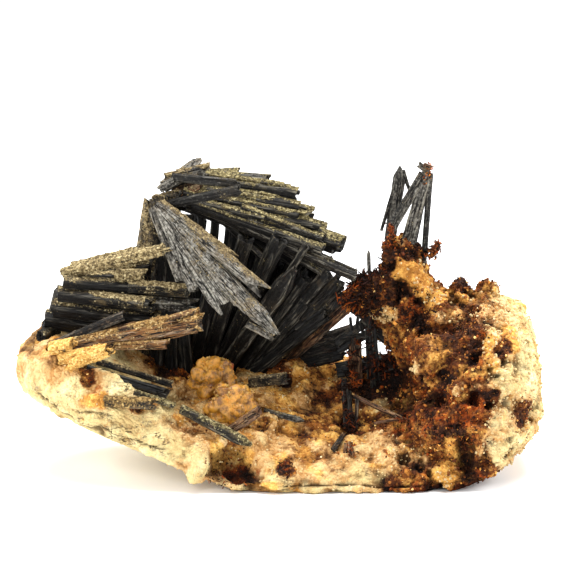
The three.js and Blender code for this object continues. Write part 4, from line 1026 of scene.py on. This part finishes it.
# Places with a ground of their own: centre, half-widths, kind and how far it stands out.
PLACES = (
    # the horn and the beak
    ((13.5, 0, 27.5), (4.4, 6, 3.4), "black", 0),
    ((18.6, 1, 33.2), (3, 5, 1.1), "black", 0),
    ((17.5, 0.6, 35), (1.6, 3, 0.9), "tan", 0),
    ((21.6, 0.4, 30.8), (1.6, 3, 2.6), "tan", 0),
    ((18.7, -0.6, 30.7), (2.1, 3, 1.7), "yellow", 0.9),
    ((22.6, 0.6, 29.6), (1.8, 3, 2.6), "gold", 0),
    ((18.4, -0.6, 28.2), (2.8, 4, 0.7), "brown", -0.2),
    ((20.8, -0.6, 28.2), (1.8, 3, 1.6), "gold", 0.2),
    ((23.2, -0.4, 26.6), (2.4, 3, 1.5), "gold", 0.3),
    ((19.2, -1, 24), (2.8, 4, 1.3), "maroon", 0),
    ((21.6, -1.6, 22.8), (1.7, 3, 1.4), "black", 0),
    ((15.6, 0, 23.6), (2.2, 3, 1.4), "straw", 0),
    ((18.6, -1.2, 21), (1.4, 3, 2.4), "brown", 0),
    ((16.5, 4, 14), (2.8, 4, 2.4), "black", 0),
    # the plateau and the face below it
    ((27, 3, 26.2), (4, 5, 1), "gold", 0),
    ((34, 4, 25.5), (2.6, 6, 1.8), "rim", 0),
    ((27, 4.6, 27.6), (1.9, 2.4, 1.6), "black", 0),
    ((31, 5, 27), (1.5, 2, 1.8), "brown", 0),
    ((25, -0.6, 24.8), (2, 3, 1), "red", 0),
    ((23.8, -1.6, 23.2), (1.5, 2.4, 1), "tan", 0.3),
    ((28.6, -2, 24.4), (5, 7, 2.2), "tan", 0.2),
    ((28, -5, 20.6), (2.3, 5, 2.6), "black", 0),
    ((22.8, -6.4, 19.4), (2.6, 3.4, 2.9), "drab", 1.0),
    ((20.4, -6.4, 17.2), (1, 1.8, 1), "cream", 1.0),
    ((31.1, -7.5, 19.6), (1, 3, 2.6), "gold", 0.6),
    ((34.6, -6, 20), (1.2, 4, 3.6), "gold", 0),
    ((33.2, -8.6, 20.4), (1.2, 2.4, 1.4), "maroon", -0.4),
    # A painted shadow in a shallow pit, beside a cream pebble.
    ((24.6, -8.6, 16), (1.7, 2.6, 1.1), "black", -0.7),
    ((25.6, -8.6, 17.4), (0.7, 1.2, 0.5), "cream", 0.6),
    ((27.8, -12, 15.3), (2.6, 3, 1), "tan", 0.5),
    ((26.2, -12.2, 14.2), (0.75, 1, 0.75), "cream", 0.8),
    ((25, -11.8, 14), (0.8, 1.5, 0.6), "red", 0.2),
    ((30.6, -12.6, 14.6), (1.5, 2.4, 1), "black", -0.4),
    ((24.4, -12, 12), (2.4, 3, 2.4), "maroon", 0),
    ((29, -14, 12), (1.9, 3, 2), "red", 0),
    ((23, -13.4, 6.6), (1.4, 3, 2.4), "brown", 0),
    ((25, -14, 6.8), (1, 2, 1.2), "gold", 0.4),
    ((29.7, -14.8, 7), (1.2, 3, 2.4), "tan", 0),
    ((24.4, -14.4, 2.4), (2.4, 3, 1.5), "gold", 0.5),
    ((21, -11.5, 6), (1.2, 3, 3), "drab", 0),
    ((32.6, -14, 7.6), (2.2, 4, 4.4), "cream", 0),
    ((36.5, -4, 17), (2.4, 6, 5), "cream", 0),
    ((35.8, -9, 10.4), (1.6, 4, 2.6), "brown", 0.3),
    # the trough
    ((12, -12.4, 5.6), (9, 3.8, 3.2), "sand", 0),
    ((8.6, -4.4, 9), (4.6, 2.8, 2.2), "brown", -0.3),
    ((3.5, -4, 10.4), (6.4, 4, 2.6), "olive", 0),
    ((13.5, -5, 8.2), (4, 3, 1.6), "brown", 0),
    ((12.6, 2, 11.8), (4.6, 5, 2.4), "black", 0),
    ((15.4, -1, 9.6), (2.6, 2.4, 1.1), "straw", 0),
    ((15.5, -4.6, 7.8), (4.6, 2.6, 1.2), "brown", 0),
    ((15.8, -12.6, 4.8), (0.6, 1.2, 0.5), "red", 0.3),
    ((17.6, -11.6, 5.8), (0.6, 1.2, 0.5), "red", 0.3),
    ((2.4, 1.4, 11.4), (5, 4.4, 2.2), "olive", 0),
    ((2, 4, 12.6), (2.4, 1.8, 0.8), "black", -0.3),
    ((6.6, 0, 10.6), (2.4, 3, 1.6), "brown", -0.2),
    ((3.4, 4.5, 12.9), (1.7, 2.6, 1.8), "gold", 1.2),
    ((5.6, 5, 12.7), (1.1, 2.2, 1.2), "brown", 1.1),
    ((-3, 9.6, 14.6), (8, 4, 1.8), "brown", 0),
    ((-1.6, 8.6, 13.6), (2.8, 2.4, 0.8), "tan", 0.8),
    ((2, 9, 14.2), (1.2, 2.4, 1.2), "brown", 1.2),
    ((7.4, 8.2, 14.2), (1.4, 2.4, 1.2), "brown", 1.0),
    ((0.4, -8, 8.6), (1.3, 2.4, 1.2), "brown", -0.4),
    ((2.6, -8.8, 7), (1.8, 2.4, 1.2), "olive", 0),
    ((5.6, -8.8, 6.8), (2.4, 2.4, 1.2), "olive", 0),
    ((1, -14.4, 3.4), (1, 2.4, 1.1), "maroon", 0.9),
    ((4.3, -12.7, 4.3), (1.1, 1.8, 0.8), "tan", 0.8),
    ((-1.8, -7.5, 9), (1, 2.4, 1.9), "peach", 1.4),
    ((-3, -8.4, 9), (0.7, 1.6, 1.6), "brown", 0),
    ((-2.8, -12.2, 5.2), (1.9, 3, 2.8), "peach", 1.0),
    ((-3, -16, 1.2), (3, 3, 1), "gold", 0),
    # the hollow in the front edge and the lobe beside it
    ((-7.8, -14.6, 4.8), (3.5, 4, 3), "honey", 0),
    ((-9.4, -14.4, 5.6), (1.4, 3, 1.4), "gold", 0.5),
    ((-6.4, -14.4, 3.6), (1.8, 3, 1), "maroon", 0),
    ((-8, -14.6, 2.4), (3.6, 3, 0.6), "black", 0),
    ((-4.4, -13.4, 5.2), (0.8, 1.6, 1.3), "gold", 0.5),
    ((-8.8, -12.6, 6.8), (0.8, 1.2, 0.6), "cream", 0.9),
    ((-12.3, -15, 5.4), (1.7, 3, 3.6), "cream", 1.8),
    # the left wall and what the ledge rests on
    ((-11.6, -6, 10.8), (1.6, 2.2, 1.3), "peach", 1.0),
    ((-15.6, 0.5, 13.6), (2, 3, 1.4), "peach", 0.9),
    ((-16.6, -9, 12.4), (2.2, 2.4, 0.8), "peach", 0.4),
    # The fuzzy blade's cast shadow, painted as brown ground and pushed in a little.
    ((-21, -11.4, 12.4), (3.2, 2, 0.8), "brown", -0.3),
    ((-27, -12.2, 13.6), (1.9, 2, 1.3), "gold", 0.5),
    ((-31, -8, 18), (2.6, 3, 1.8), "olive", 0),
    ((-28.6, -10, 17), (1.3, 2, 1.8), "brown", -0.2),
    ((-27.6, -10, 14.9), (1.3, 2, 0.9), "red", -0.8),
    ((-33, -5, 20), (1.6, 3, 1.2), "gold", 0.6),
    ((-36.4, 1, 18.8), (1.6, 4, 2.4), "gold", 0),
    ((-18, 4, 14), (6, 5, 3), "brown", 0),
    ((-38, 3, 21), (2.4, 6, 3), "tan", -2.2),
)

REGIONS = {"floor": trough, "lip": front_lip, "crag": crag, "rim": right_rim, "wall": left_wall}
levels = np.array(KINDS["back"])[:, None] * np.ones(len(points))
for kind, mask in REGIONS.items():
    levels += mask * (np.array(KINDS[kind])[:, None] - levels)
push = np.zeros(len(points))
strayed = points + 1.3 * drift(points, 2.2, 34, 3)
for centre, reach, kind, height in PLACES:
    share = near(strayed, centre, reach)
    levels += share * (np.array(KINDS[kind])[:, None] - levels)
    push += height * share

# Relief: broad swells everywhere, knobs and pits on the crag, lumps in the trough.
warped = points + 0.6 * drift(points, 1.3, 31)
big_knob, knob = 0.5 - knobs(warped, 3.4, 40), 0.5 - knobs(warped, 1.7, 41)
small_knob = 0.5 - knobs(points, 0.9, 47)
swell = 0.6 * waves(points, 5, 21, 3)
detail = 0.3 * waves(points, 1.5, 22, 2)
detail += crag * (1.1 * big_knob + 0.9 * knob + 0.6 * small_knob)
even = 1 - 0.5 * near(points, (9, -12.5, 5), (11, 4, 3.5))
detail += (trough + front_lip) * (1.3 * big_knob + even * (0.65 * knob + 0.2 * small_knob))
detail += left_wall * (0.9 * big_knob + 0.6 * knob + 0.3 * small_knob)
detail -= (0.3 + 1.3 * crag) * smooth(0.2, 0.5, waves(points, 2.6, 51, 3))

# Thin cracks in the left wall, a step along the foot of the front, and long creases in the left wall: where
# the middle of each crease is, its slope and half its length.
CREASES = ((-31.5, 10.6, -0.52, 6.5), (-22, 7.8, -0.2, 6), (-20.6, 4.9, -0.45, 4), (-28, 11.6, -0.1, 4))
crack = np.abs(waves(points * np.array([0.35, 1, 1.1]), 2.6, 61, 2))
cracks = (1 - smooth(0.0, 0.05, crack)) * left_wall * smooth(-0.1, 0.3, waves(points, 7, 63))
shelf = smooth(0.35, 0.0, np.abs(Z - 1.3 - 0.7 * waves(points, 5, 65, 2)))
shelf = shelf * smooth(-12, -14.5, Y) * smooth(-2, 1, X)
creases = np.zeros(len(points))
for x, z, slope, reach in CREASES:
    off = np.abs(Z - z - slope * (X - x) - 0.5 * waves(points, 3, 67, 2))
    crease = smooth(0.3, 0.05, off) * smooth(reach, reach - 2, np.abs(X - x)) * smooth(-4, -8, Y)
    creases = np.maximum(creases, crease)
detail -= 0.22 * cracks + 0.5 * shelf + 0.4 * creases

# Raised ground is painted lighter and hollows darker: painted light and shade.
# The places' own bumps come on top.
light = np.clip(0.5 + 0.45 * detail / (0.5 + 0.6 * crag) + 0.3 * waves(points, 2.2, 77, 2), 0, 1)
detail += push * (0.85 + 0.3 * waves(points, 1.2, 66, 2))

# Holes: centre, half-widths and share of the full depth.
HOLE_DEPTH = 2.4
HOLES = (
    ((-7.4, -15.6, 4.6), (3.2, 3.2, 2.8), 1.25),  # brown hollow in the front edge
    ((27.4, -14, 6.2), (1.3, 4, 2.5), 1.0),  # deep hole low on the crag
    ((16.5, -2, 13), (3.4, 5, 3.4), 0.8),  # cave at the crag's inner foot
    ((23.4, -8, 12.6), (2.6, 4, 1.7), 0.7),
    ((29.5, -8, 13.8), (1.8, 4, 1.4), 0.6),
    ((20.8, -6, 22.6), (2.4, 4, 1.5), 0.6),
)
holes = np.max([depth * near(points, centre, reach) for centre, reach, depth in HOLES], axis=0)
detail -= HOLE_DEPTH * holes * (0.8 + 0.4 * waves(points, 1.6, 64, 2))
relief = np.where(outward[:, 2] < -0.8, 0.3 * np.minimum(swell + detail, 0), swell + detail)
# Painted shade: low ground, the cracks, the step along the foot, the creases and the crag's holes darkened.
hollow_shade = smooth(0.1, -0.8, detail) * (0.7 + 0.3 * crag - 0.3 * left_wall)
hollow_shade = np.clip(hollow_shade + 0.7 * cracks + 0.5 * shelf + 0.6 * creases, 0, 1)
hollow_shade = np.maximum(hollow_shade, 0.8 * smooth(0.4, 1, holes) * smooth(12, 14, X))
points = points + relief[:, None] * outward
points[:, 2] = np.maximum(points[:, 2], 0.0)

# The covers in the order of the kinds' numbers, each with the size and the seed of its patches.
COVERS = {"stain": (6, 71), "earth": (4, 76), "ochre": (3.5, 74), "rust": (3, 72), "dark": (3, 73)}
patches = np.stack([waves(points, size, seed, 3) for size, seed in COVERS.values()])
levels += (0.17 + 0.06 * trough) * patches
covers = dict(zip(COVERS, levels))
earth, rust, dark = covers["earth"], covers["rust"], covers["dark"]
earth += 0.06 * crag
speck = 0.17 * left_wall + 0.1 * front_lip - 0.06 * right_rim + 0.2 * waves(points, 2.6, 75, 2)
fields = covers | {
    "speck": speck, "hollow_shade": hollow_shade, "veined": np.maximum(left_wall, 0.5 * front_lip), "light": light,
}

skin.vertices.foreach_set("co", in_row(points))
give(skin, {kind: np.clip(value, 0, 2) for kind, value in fields.items()})
skin.update()
skin.name = "rock"
skin.materials.clear()
show(skin, "matrix_rock", ROCK, "pale_rock", "matrix")

# ---- loose grains on the rock ------------------------------------------------------------------------------


def strew(name, weight, number, low, high, seed, rust_share):
    """Grains strewn over the rock at places drawn from its skin with this weight, each a little in or out:
    pale ones on pale ground and dark ones on dark ground."""
    rng = np.random.default_rng(seed)
    weight = weight * smooth(0.3, 1.2, Z)
    picked = rng.choice(len(points), number, p=weight / weight.sum())
    reach = low + (high - low) * rng.random(number) ** 2.2
    at = points[picked] + outward[picked] * (rng.uniform(-0.2, 0.5, number) * reach)[:, None]
    at[:, 2] = np.maximum(at[:, 2], reach * 1.2)
    black = dark[picked]
    pale = smooth(0.6, 0.4, np.maximum(earth[picked], black))
    # Each grain starts from the ground's light, painted light on raised ground.
    shade = np.minimum(light[picked], 0.72) + rng.normal(0, 1, number) * (0.19 - 0.11 * pale)
    shade = np.maximum(shade - 0.25 * smooth(0.5, 0.8, black), 0.62 * smooth(0.45, 0.27, black))
    rusty = rust_share + 0.5 * smooth(0.45, 0.7, rust[picked])
    shell = Shell()
    crumbs(
        shell, at + rng.normal(0, 0.1, (number, 3)), reach, rng,
        tone=np.clip(shade, 0, 1),
        rust=(rng.random(number) < rusty) * rng.uniform(0.4, 1, number),
        coat=(rng.random(number) < 1.1 * pale) * rng.uniform(0.5, 1, number),
    )
    shell.build(name, CRUMBS, "pale_rock")


bare = 1 - 0.9 * near(points, (19.2, -2.5, 30.6), (2.6, 3, 2), 0.3)
strew("crag_grains", bare * (crag + 0.3 * right_rim), 9500, 0.07, 0.32, 501, 0.06)
earthy = 3 * smooth(0.5, 0.7, earth) * (1 - crag)
shoulder = near(points, (-24, -12, 13), (9, 3, 2.6))
strew("floor_grains", 0.1 + trough + 0.4 * front_lip + earthy + shoulder, 5200, 0.06, 0.26, 502, 0.04)

# ---- needles on the rock -----------------------------------------------------------------------------------

NEEDLES = np.random.default_rng(520)


def needles(shell, starts, ends, widths, tone, rust_share):
    """Rods from the starts to the ends, each with its own width and shade, some of them rusty."""
    number = len(starts)
    rods(
        shell, starts, ends, NEEDLES.uniform(*widths, number), NEEDLES,
        tone=np.clip(tone + NEEDLES.normal(0, 0.14, number), 0, 1),
        rust=(NEEDLES.random(number) < rust_share) * NEEDLES.uniform(0.5, 1, number),
    )


def bristle(centre, reach, number, lengths, aim, spread, tone, rust_share, widths=(0.12, 0.28), out=0.5):
    """Rods that stand out of the rock around a place: each starts on its skin, a little way in, and goes
    along the outward direction times out, plus the aim, plus a random direction times the spread."""
    weight = near(points, centre, reach) * smooth(0.3, 1.2, Z)
    picked = NEEDLES.choice(len(points), number, p=weight / weight.sum())
    way = unit(out * outward[picked] + np.array(aim) + spread * NEEDLES.normal(size=(number, 3)))
    start = points[picked] - 0.25 * outward[picked]
    end = start + NEEDLES.uniform(*lengths, (number, 1)) * way
    end[:, 2] = np.maximum(end[:, 2], 0.2)
    needles(rock_needles, start, end, widths, tone, rust_share)


def tuft(start, end, radius, number, lengths, tone, rust_share, widths=(0.12, 0.26)):
    """Rods that lie every way round a line: each middle is a point of the line moved by the radius times a
    random vector."""
    share = NEEDLES.random((number, 1))
    middle = np.array(start) * (1 - share) + np.array(end) * share + radius * NEEDLES.normal(size=(number, 3))
    half = 0.5 * NEEDLES.uniform(*lengths, (number, 1)) * unit(NEEDLES.normal(size=(number, 3)))
    needles(twig_needles, middle - half, middle + half, widths, tone, rust_share)


twig_needles, rock_needles = Shell(), Shell()
tuft((10.6, -5.2, 6.6), (10.5, -4.4, 9.4), 0.45, 110, (0.4, 1.2), 0.14, 0.2)  # on the twigs in the trough
tuft((10, -4, 9.4), (9.7, -2.2, 14), 0.3, 70, (0.4, 1), 0.12, 0.15)
tuft((10.6, -11.2, 6.2), (10.6, -12.6, 3.4), 0.4, 40, (0.3, 0.7), 0.4, 0.6)
tuft((17.4, -7.4, 9.4), (19.6, -7, 9.2), 0.3, 36, (0.3, 0.8), 0.25, 0.7)
tuft((11.6, -0.6, 13), (10.8, 0.4, 14.6), 0.35, 30, (0.4, 1.2), 0.3, 0.8)
tuft((22.1, 2, 44.2), (22.3, 2, 46.2), 0.22, 46, (0.3, 0.8), 0.55, 0.5)  # on the spire's points
tuft((21.6, 1.8, 43.2), (21.9, 1.8, 45), 0.2, 20, (0.2, 0.5), 0.55, 0.5)
tuft((22.4, 1.6, 32.2), (23.6, 1.6, 34), 0.36, 190, (0.25, 0.7), 0.4, 0.25, (0.12, 0.3))  # right of its foot
tuft((16.2, 1, 33.6), (16.5, 1, 37.4), 0.28, 90, (0.3, 0.9), 0.4, 0.5)  # and left of it
tuft((13.6, 4.6, 14), (19, 5, 16), 0.9, 260, (0.6, 1.9), 0.1, 0.35, (0.14, 0.34))  # under the beak
tuft((10.4, 4, 13.4), (11.6, 3.6, 19.6), 0.4, 90, (0.5, 1.6), 0.12, 0.2, (0.14, 0.3))
tuft((13.6, 3.4, 13), (13.6, 3.2, 21.6), 0.4, 80, (0.5, 1.8), 0.1, 0.1, (0.14, 0.3))
tuft((13.6, 3.2, 21.6), (18, 3.8, 17.4), 0.5, 90, (0.6, 1.8), 0.1, 0.2, (0.14, 0.32))
tuft((9, -0.4, 26), (11, 0, 27.8), 0.35, 70, (0.5, 1.6), 0.3, 0.5)  # the beak's tip
twig_needles.build("twig_needles", CRUMBS, "crusted_stibnite")
bristle((11.8, -0.5, 27), (3.4, 4, 4), 900, (0.5, 1.9), (-0.25, -0.2, 0), 0.9, 0.1, 0.14, out=0.4)  # the beak
bristle((10, 0, 26), (1.6, 3, 3), 70, (0.8, 2.2), (-1, -0.2, -0.6), 0.5, 0.5, 0.7, out=0.4)  # its rusty edge
bristle((13.6, 0, 30.4), (2.6, 4, 1.4), 180, (0.5, 1.5), (-0.2, 0, 0.5), 0.9, 0.12, 0.1, out=0.4)
bristle((18.4, 1, 33.4), (3.4, 4, 1.6), 300, (0.3, 1), (0, -0.4, 0.2), 0.8, 0.16, 0.2)
bristle((16.4, 1, 35), (1, 2, 1.6), 60, (0.4, 1.2), (-0.4, -0.2, 0.5), 0.8, 0.36, 0.5)
bristle((20, -1, 24.6), (3.6, 4, 3), 360, (0.3, 1), (0, -0.2, 0), 0.9, 0.12, 0.1, (0.1, 0.24), out=0.4)
bristle((28, -4, 21), (3, 6, 4), 480, (0.3, 0.9), (0, 0, 0), 0.9, 0.18, 0.2, (0.1, 0.22))
bristle((24.6, -12, 11), (3, 4, 4), 340, (0.3, 0.9), (0, 0, 0), 0.9, 0.2, 0.35, (0.1, 0.22))
bristle((29, -12, 10), (3, 5, 4), 340, (0.3, 0.8), (0, 0, 0), 0.9, 0.42, 0.5, (0.1, 0.2))
bristle((35.6, -8, 10.4), (2, 5, 3.4), 180, (0.3, 0.7), (0, 0, 0), 0.9, 0.22, 0.1, (0.1, 0.2))
bristle((27, 4.6, 27.6), (2.2, 2.4, 1.8), 160, (0.3, 0.8), (0, 0, 0.2), 0.9, 0.16, 0.1, (0.1, 0.2))
bristle((-8, -14, 3.6), (3.6, 4, 2.2), 180, (0.3, 0.9), (0, -0.3, 0), 0.9, 0.26, 0.2, (0.1, 0.2))
bristle((1, -14.6, 3.4), (1.1, 2.4, 1.2), 70, (0.4, 1), (0, -0.3, 0.1), 0.9, 0.2, 0.2, (0.12, 0.24), out=0.6)
rock_needles.build("rock_needles", CRUMBS, "pale_rock")

# ---- amber lumps -------------------------------------------------------------------------------------------

LUMPS = {  # the middle and the half-widths of each
    "amber_lump_back": ((-10.2, -3.2, 14.9), (3.5, 2.7, 3.1)),
    "amber_lump_front": ((-7.2, -8.8, 12), (3.7, 2.7, 3.1)),
}
LOBES = np.array([  # of each lump: how far from its middle and how big, as shares of its half-widths
    (0, 0.1, -0.1, 0.72), (-0.48, 0.1, -0.2, 0.52), (0.5, 0, -0.25, 0.5), (-0.2, -0.1, 0.42, 0.5),
    (0.34, 0.1, 0.34, 0.5), (0, -0.35, -0.35, 0.55), (-0.3, -0.3, 0.05, 0.5),
])
KNOB, KNOB_HEIGHT, KNOB_SEED = 2.1, 0.75, 5
BLOCKS, SUGAR = 60, 900  # larger and smaller grains on each lump


def ball(shell, centre, reach, rows=48, around=72):
    """A rough lump: a sphere of rows by around points, drawn towards a cube by the largest part of each
    direction to the power -0.4, and pushed out on knobs and in between them, under soft waves."""
    up = math.pi * (np.arange(rows) + 1) / (rows + 1)
    theta = TURN * np.arange(around) / around
    circle = np.stack([np.cos(theta), np.sin(theta), np.ones(around)], axis=-1)
    grid = (np.stack([np.sin(up), np.sin(up), -np.cos(up)], axis=-1)[:, None] * circle).reshape(-1, 3)
    grid = np.concatenate([grid, [[0, 0, -1.0], [0, 0, 1.0]]])
    at = grid * reach + centre
    push = np.abs(grid).max(axis=1) ** -0.4 + KNOB_HEIGHT * (0.5 - knobs(at, KNOB, KNOB_SEED))
    push = push + 0.5 * KNOB_HEIGHT * waves(at, 0.6 * KNOB, KNOB_SEED, 2)
    shell.add(centre + grid * reach * push[:, None], *tube_faces(rows, around), rust=0.1, tone=0.08)


def on_lobes(rng, number, lean, out):
    """Random places on the lobes, as shares of a lump's half-widths: each on the side it leans to and this
    share of the way out."""
    lobes = LOBES[rng.integers(0, len(LOBES), number)]
    directions = unit(rng.normal(size=(number, 3)) + np.array(lean))
    return lobes[:, :3] + lobes[:, 3:] * directions * rng.uniform(*out, (number, 1))


for number, (name, lump) in enumerate(LUMPS.items()):
    rng = np.random.default_rng(300 + number)
    middle, reach = (np.array(part) for part in lump)
    shell = Shell()
    for *shift, part in LOBES:
        ball(shell, middle + reach * shift, 1.05 * part * reach)
    blocks = middle + reach * on_lobes(rng, BLOCKS, (0, -0.3, 0.2), (0.5, 0.85))
    crumbs(
        shell, blocks, rng.uniform(0.3, 0.9, BLOCKS), rng,
        rust=0.1 + 0.5 * (rng.random(BLOCKS) < 0.12), tone=rng.uniform(0, 0.5, BLOCKS),
    )
    sugar = middle + reach * on_lobes(rng, SUGAR, (0.1, 0, 0.4), (0.92, 1.12))
    pale = smooth(0.1, 0.7, (sugar - middle)[:, 2] / reach[2] + 0.25 * rng.normal(size=SUGAR))
    crumbs(
        shell, sugar, rng.uniform(0.06, 0.26, SUGAR), rng,
        rust=rng.uniform(0, 0.3, SUGAR), tone=0.05 + 0.8 * pale,
    )
    shell.build(name + "_crystal", AMBER, "amber_crystal", name)

# ---- stage -------------------------------------------------------------------------------------------------

low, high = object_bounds()
middle = (low + high) / 2
scene = bpy.context.scene

FLOOR_REACH = 3.0
CORNERS = ((-1, -1), (1, -1), (1, 1), (-1, 1))
floor_mesh = bpy.data.meshes.new("floor")
floor_mesh.from_pydata([(FLOOR_REACH * x, FLOOR_REACH * y, 0) for x, y in CORNERS], [], [(0, 1, 2, 3)])
floor_mesh.materials.append(Finish("white_paper", Roughness=0.9, Base_Color=(0.92, 0.92, 0.92, 1)).material)
floor = bpy.data.objects.new("floor", floor_mesh)
scene.collection.objects.link(floor)

# A plain white surround, dim as a light and full bright where it is seen.
DIM, SEEN = 0.14, 0.92
world = bpy.data.worlds.new("studio")
scene.world = world
world.use_nodes = True
sky = Nodes(world.node_tree)
backdrop = world.node_tree.nodes["Background"]
backdrop.inputs["Color"].default_value = (1, 1, 1, 1)
seen = sky.add("LightPath").outputs["Is Camera Ray"]
sky.join(sky.math("MULTIPLY_ADD", seen, SEEN, DIM), backdrop.inputs["Strength"])


def facing_along(holder, place, direction):
    """Puts a lamp or a camera at its place, looking along this direction, and into the scene."""
    holder.location = place
    holder.rotation_mode = "QUATERNION"
    holder.rotation_quaternion = direction.to_track_quat("-Z", "Y")
    scene.collection.objects.link(holder)


# Square lights that face the middle of the specimen: place, size and power.
LIGHTS = {
    "top_light": ((0.0, 0.06, 0.42), 0.34, 4.6),
    "left_light": ((-0.38, 0.0, 0.2), 0.26, 2.0),
    "right_light": ((0.38, 0.06, 0.22), 0.26, 2.6),
    "front_light": ((-0.16, -0.5, 0.26), 0.24, 1.9),
}
for name, (place, size, power) in LIGHTS.items():
    lamp = bpy.data.lights.new(name, "AREA")
    lamp.size, lamp.energy = size, power
    facing_along(bpy.data.objects.new(name, lamp), Vector(place), middle - Vector(place))

CAMERA_ELEVATION = math.radians(12)
CAMERA_DISTANCE = 0.9
camera_data = bpy.data.cameras.new("camera")
camera_data.sensor_width, camera_data.lens = 36, 375
camera_data.clip_start, camera_data.clip_end = 0.01, 20
camera = bpy.data.objects.new("camera", camera_data)
target = Vector(((low.x + high.x) / 2 + 0.0011, 0, 0.0274))
back = Vector((0, -math.cos(CAMERA_ELEVATION), math.sin(CAMERA_ELEVATION)))
facing_along(camera, target + CAMERA_DISTANCE * back, -back)
scene.camera = camera
scene.view_settings.view_transform = "Standard"
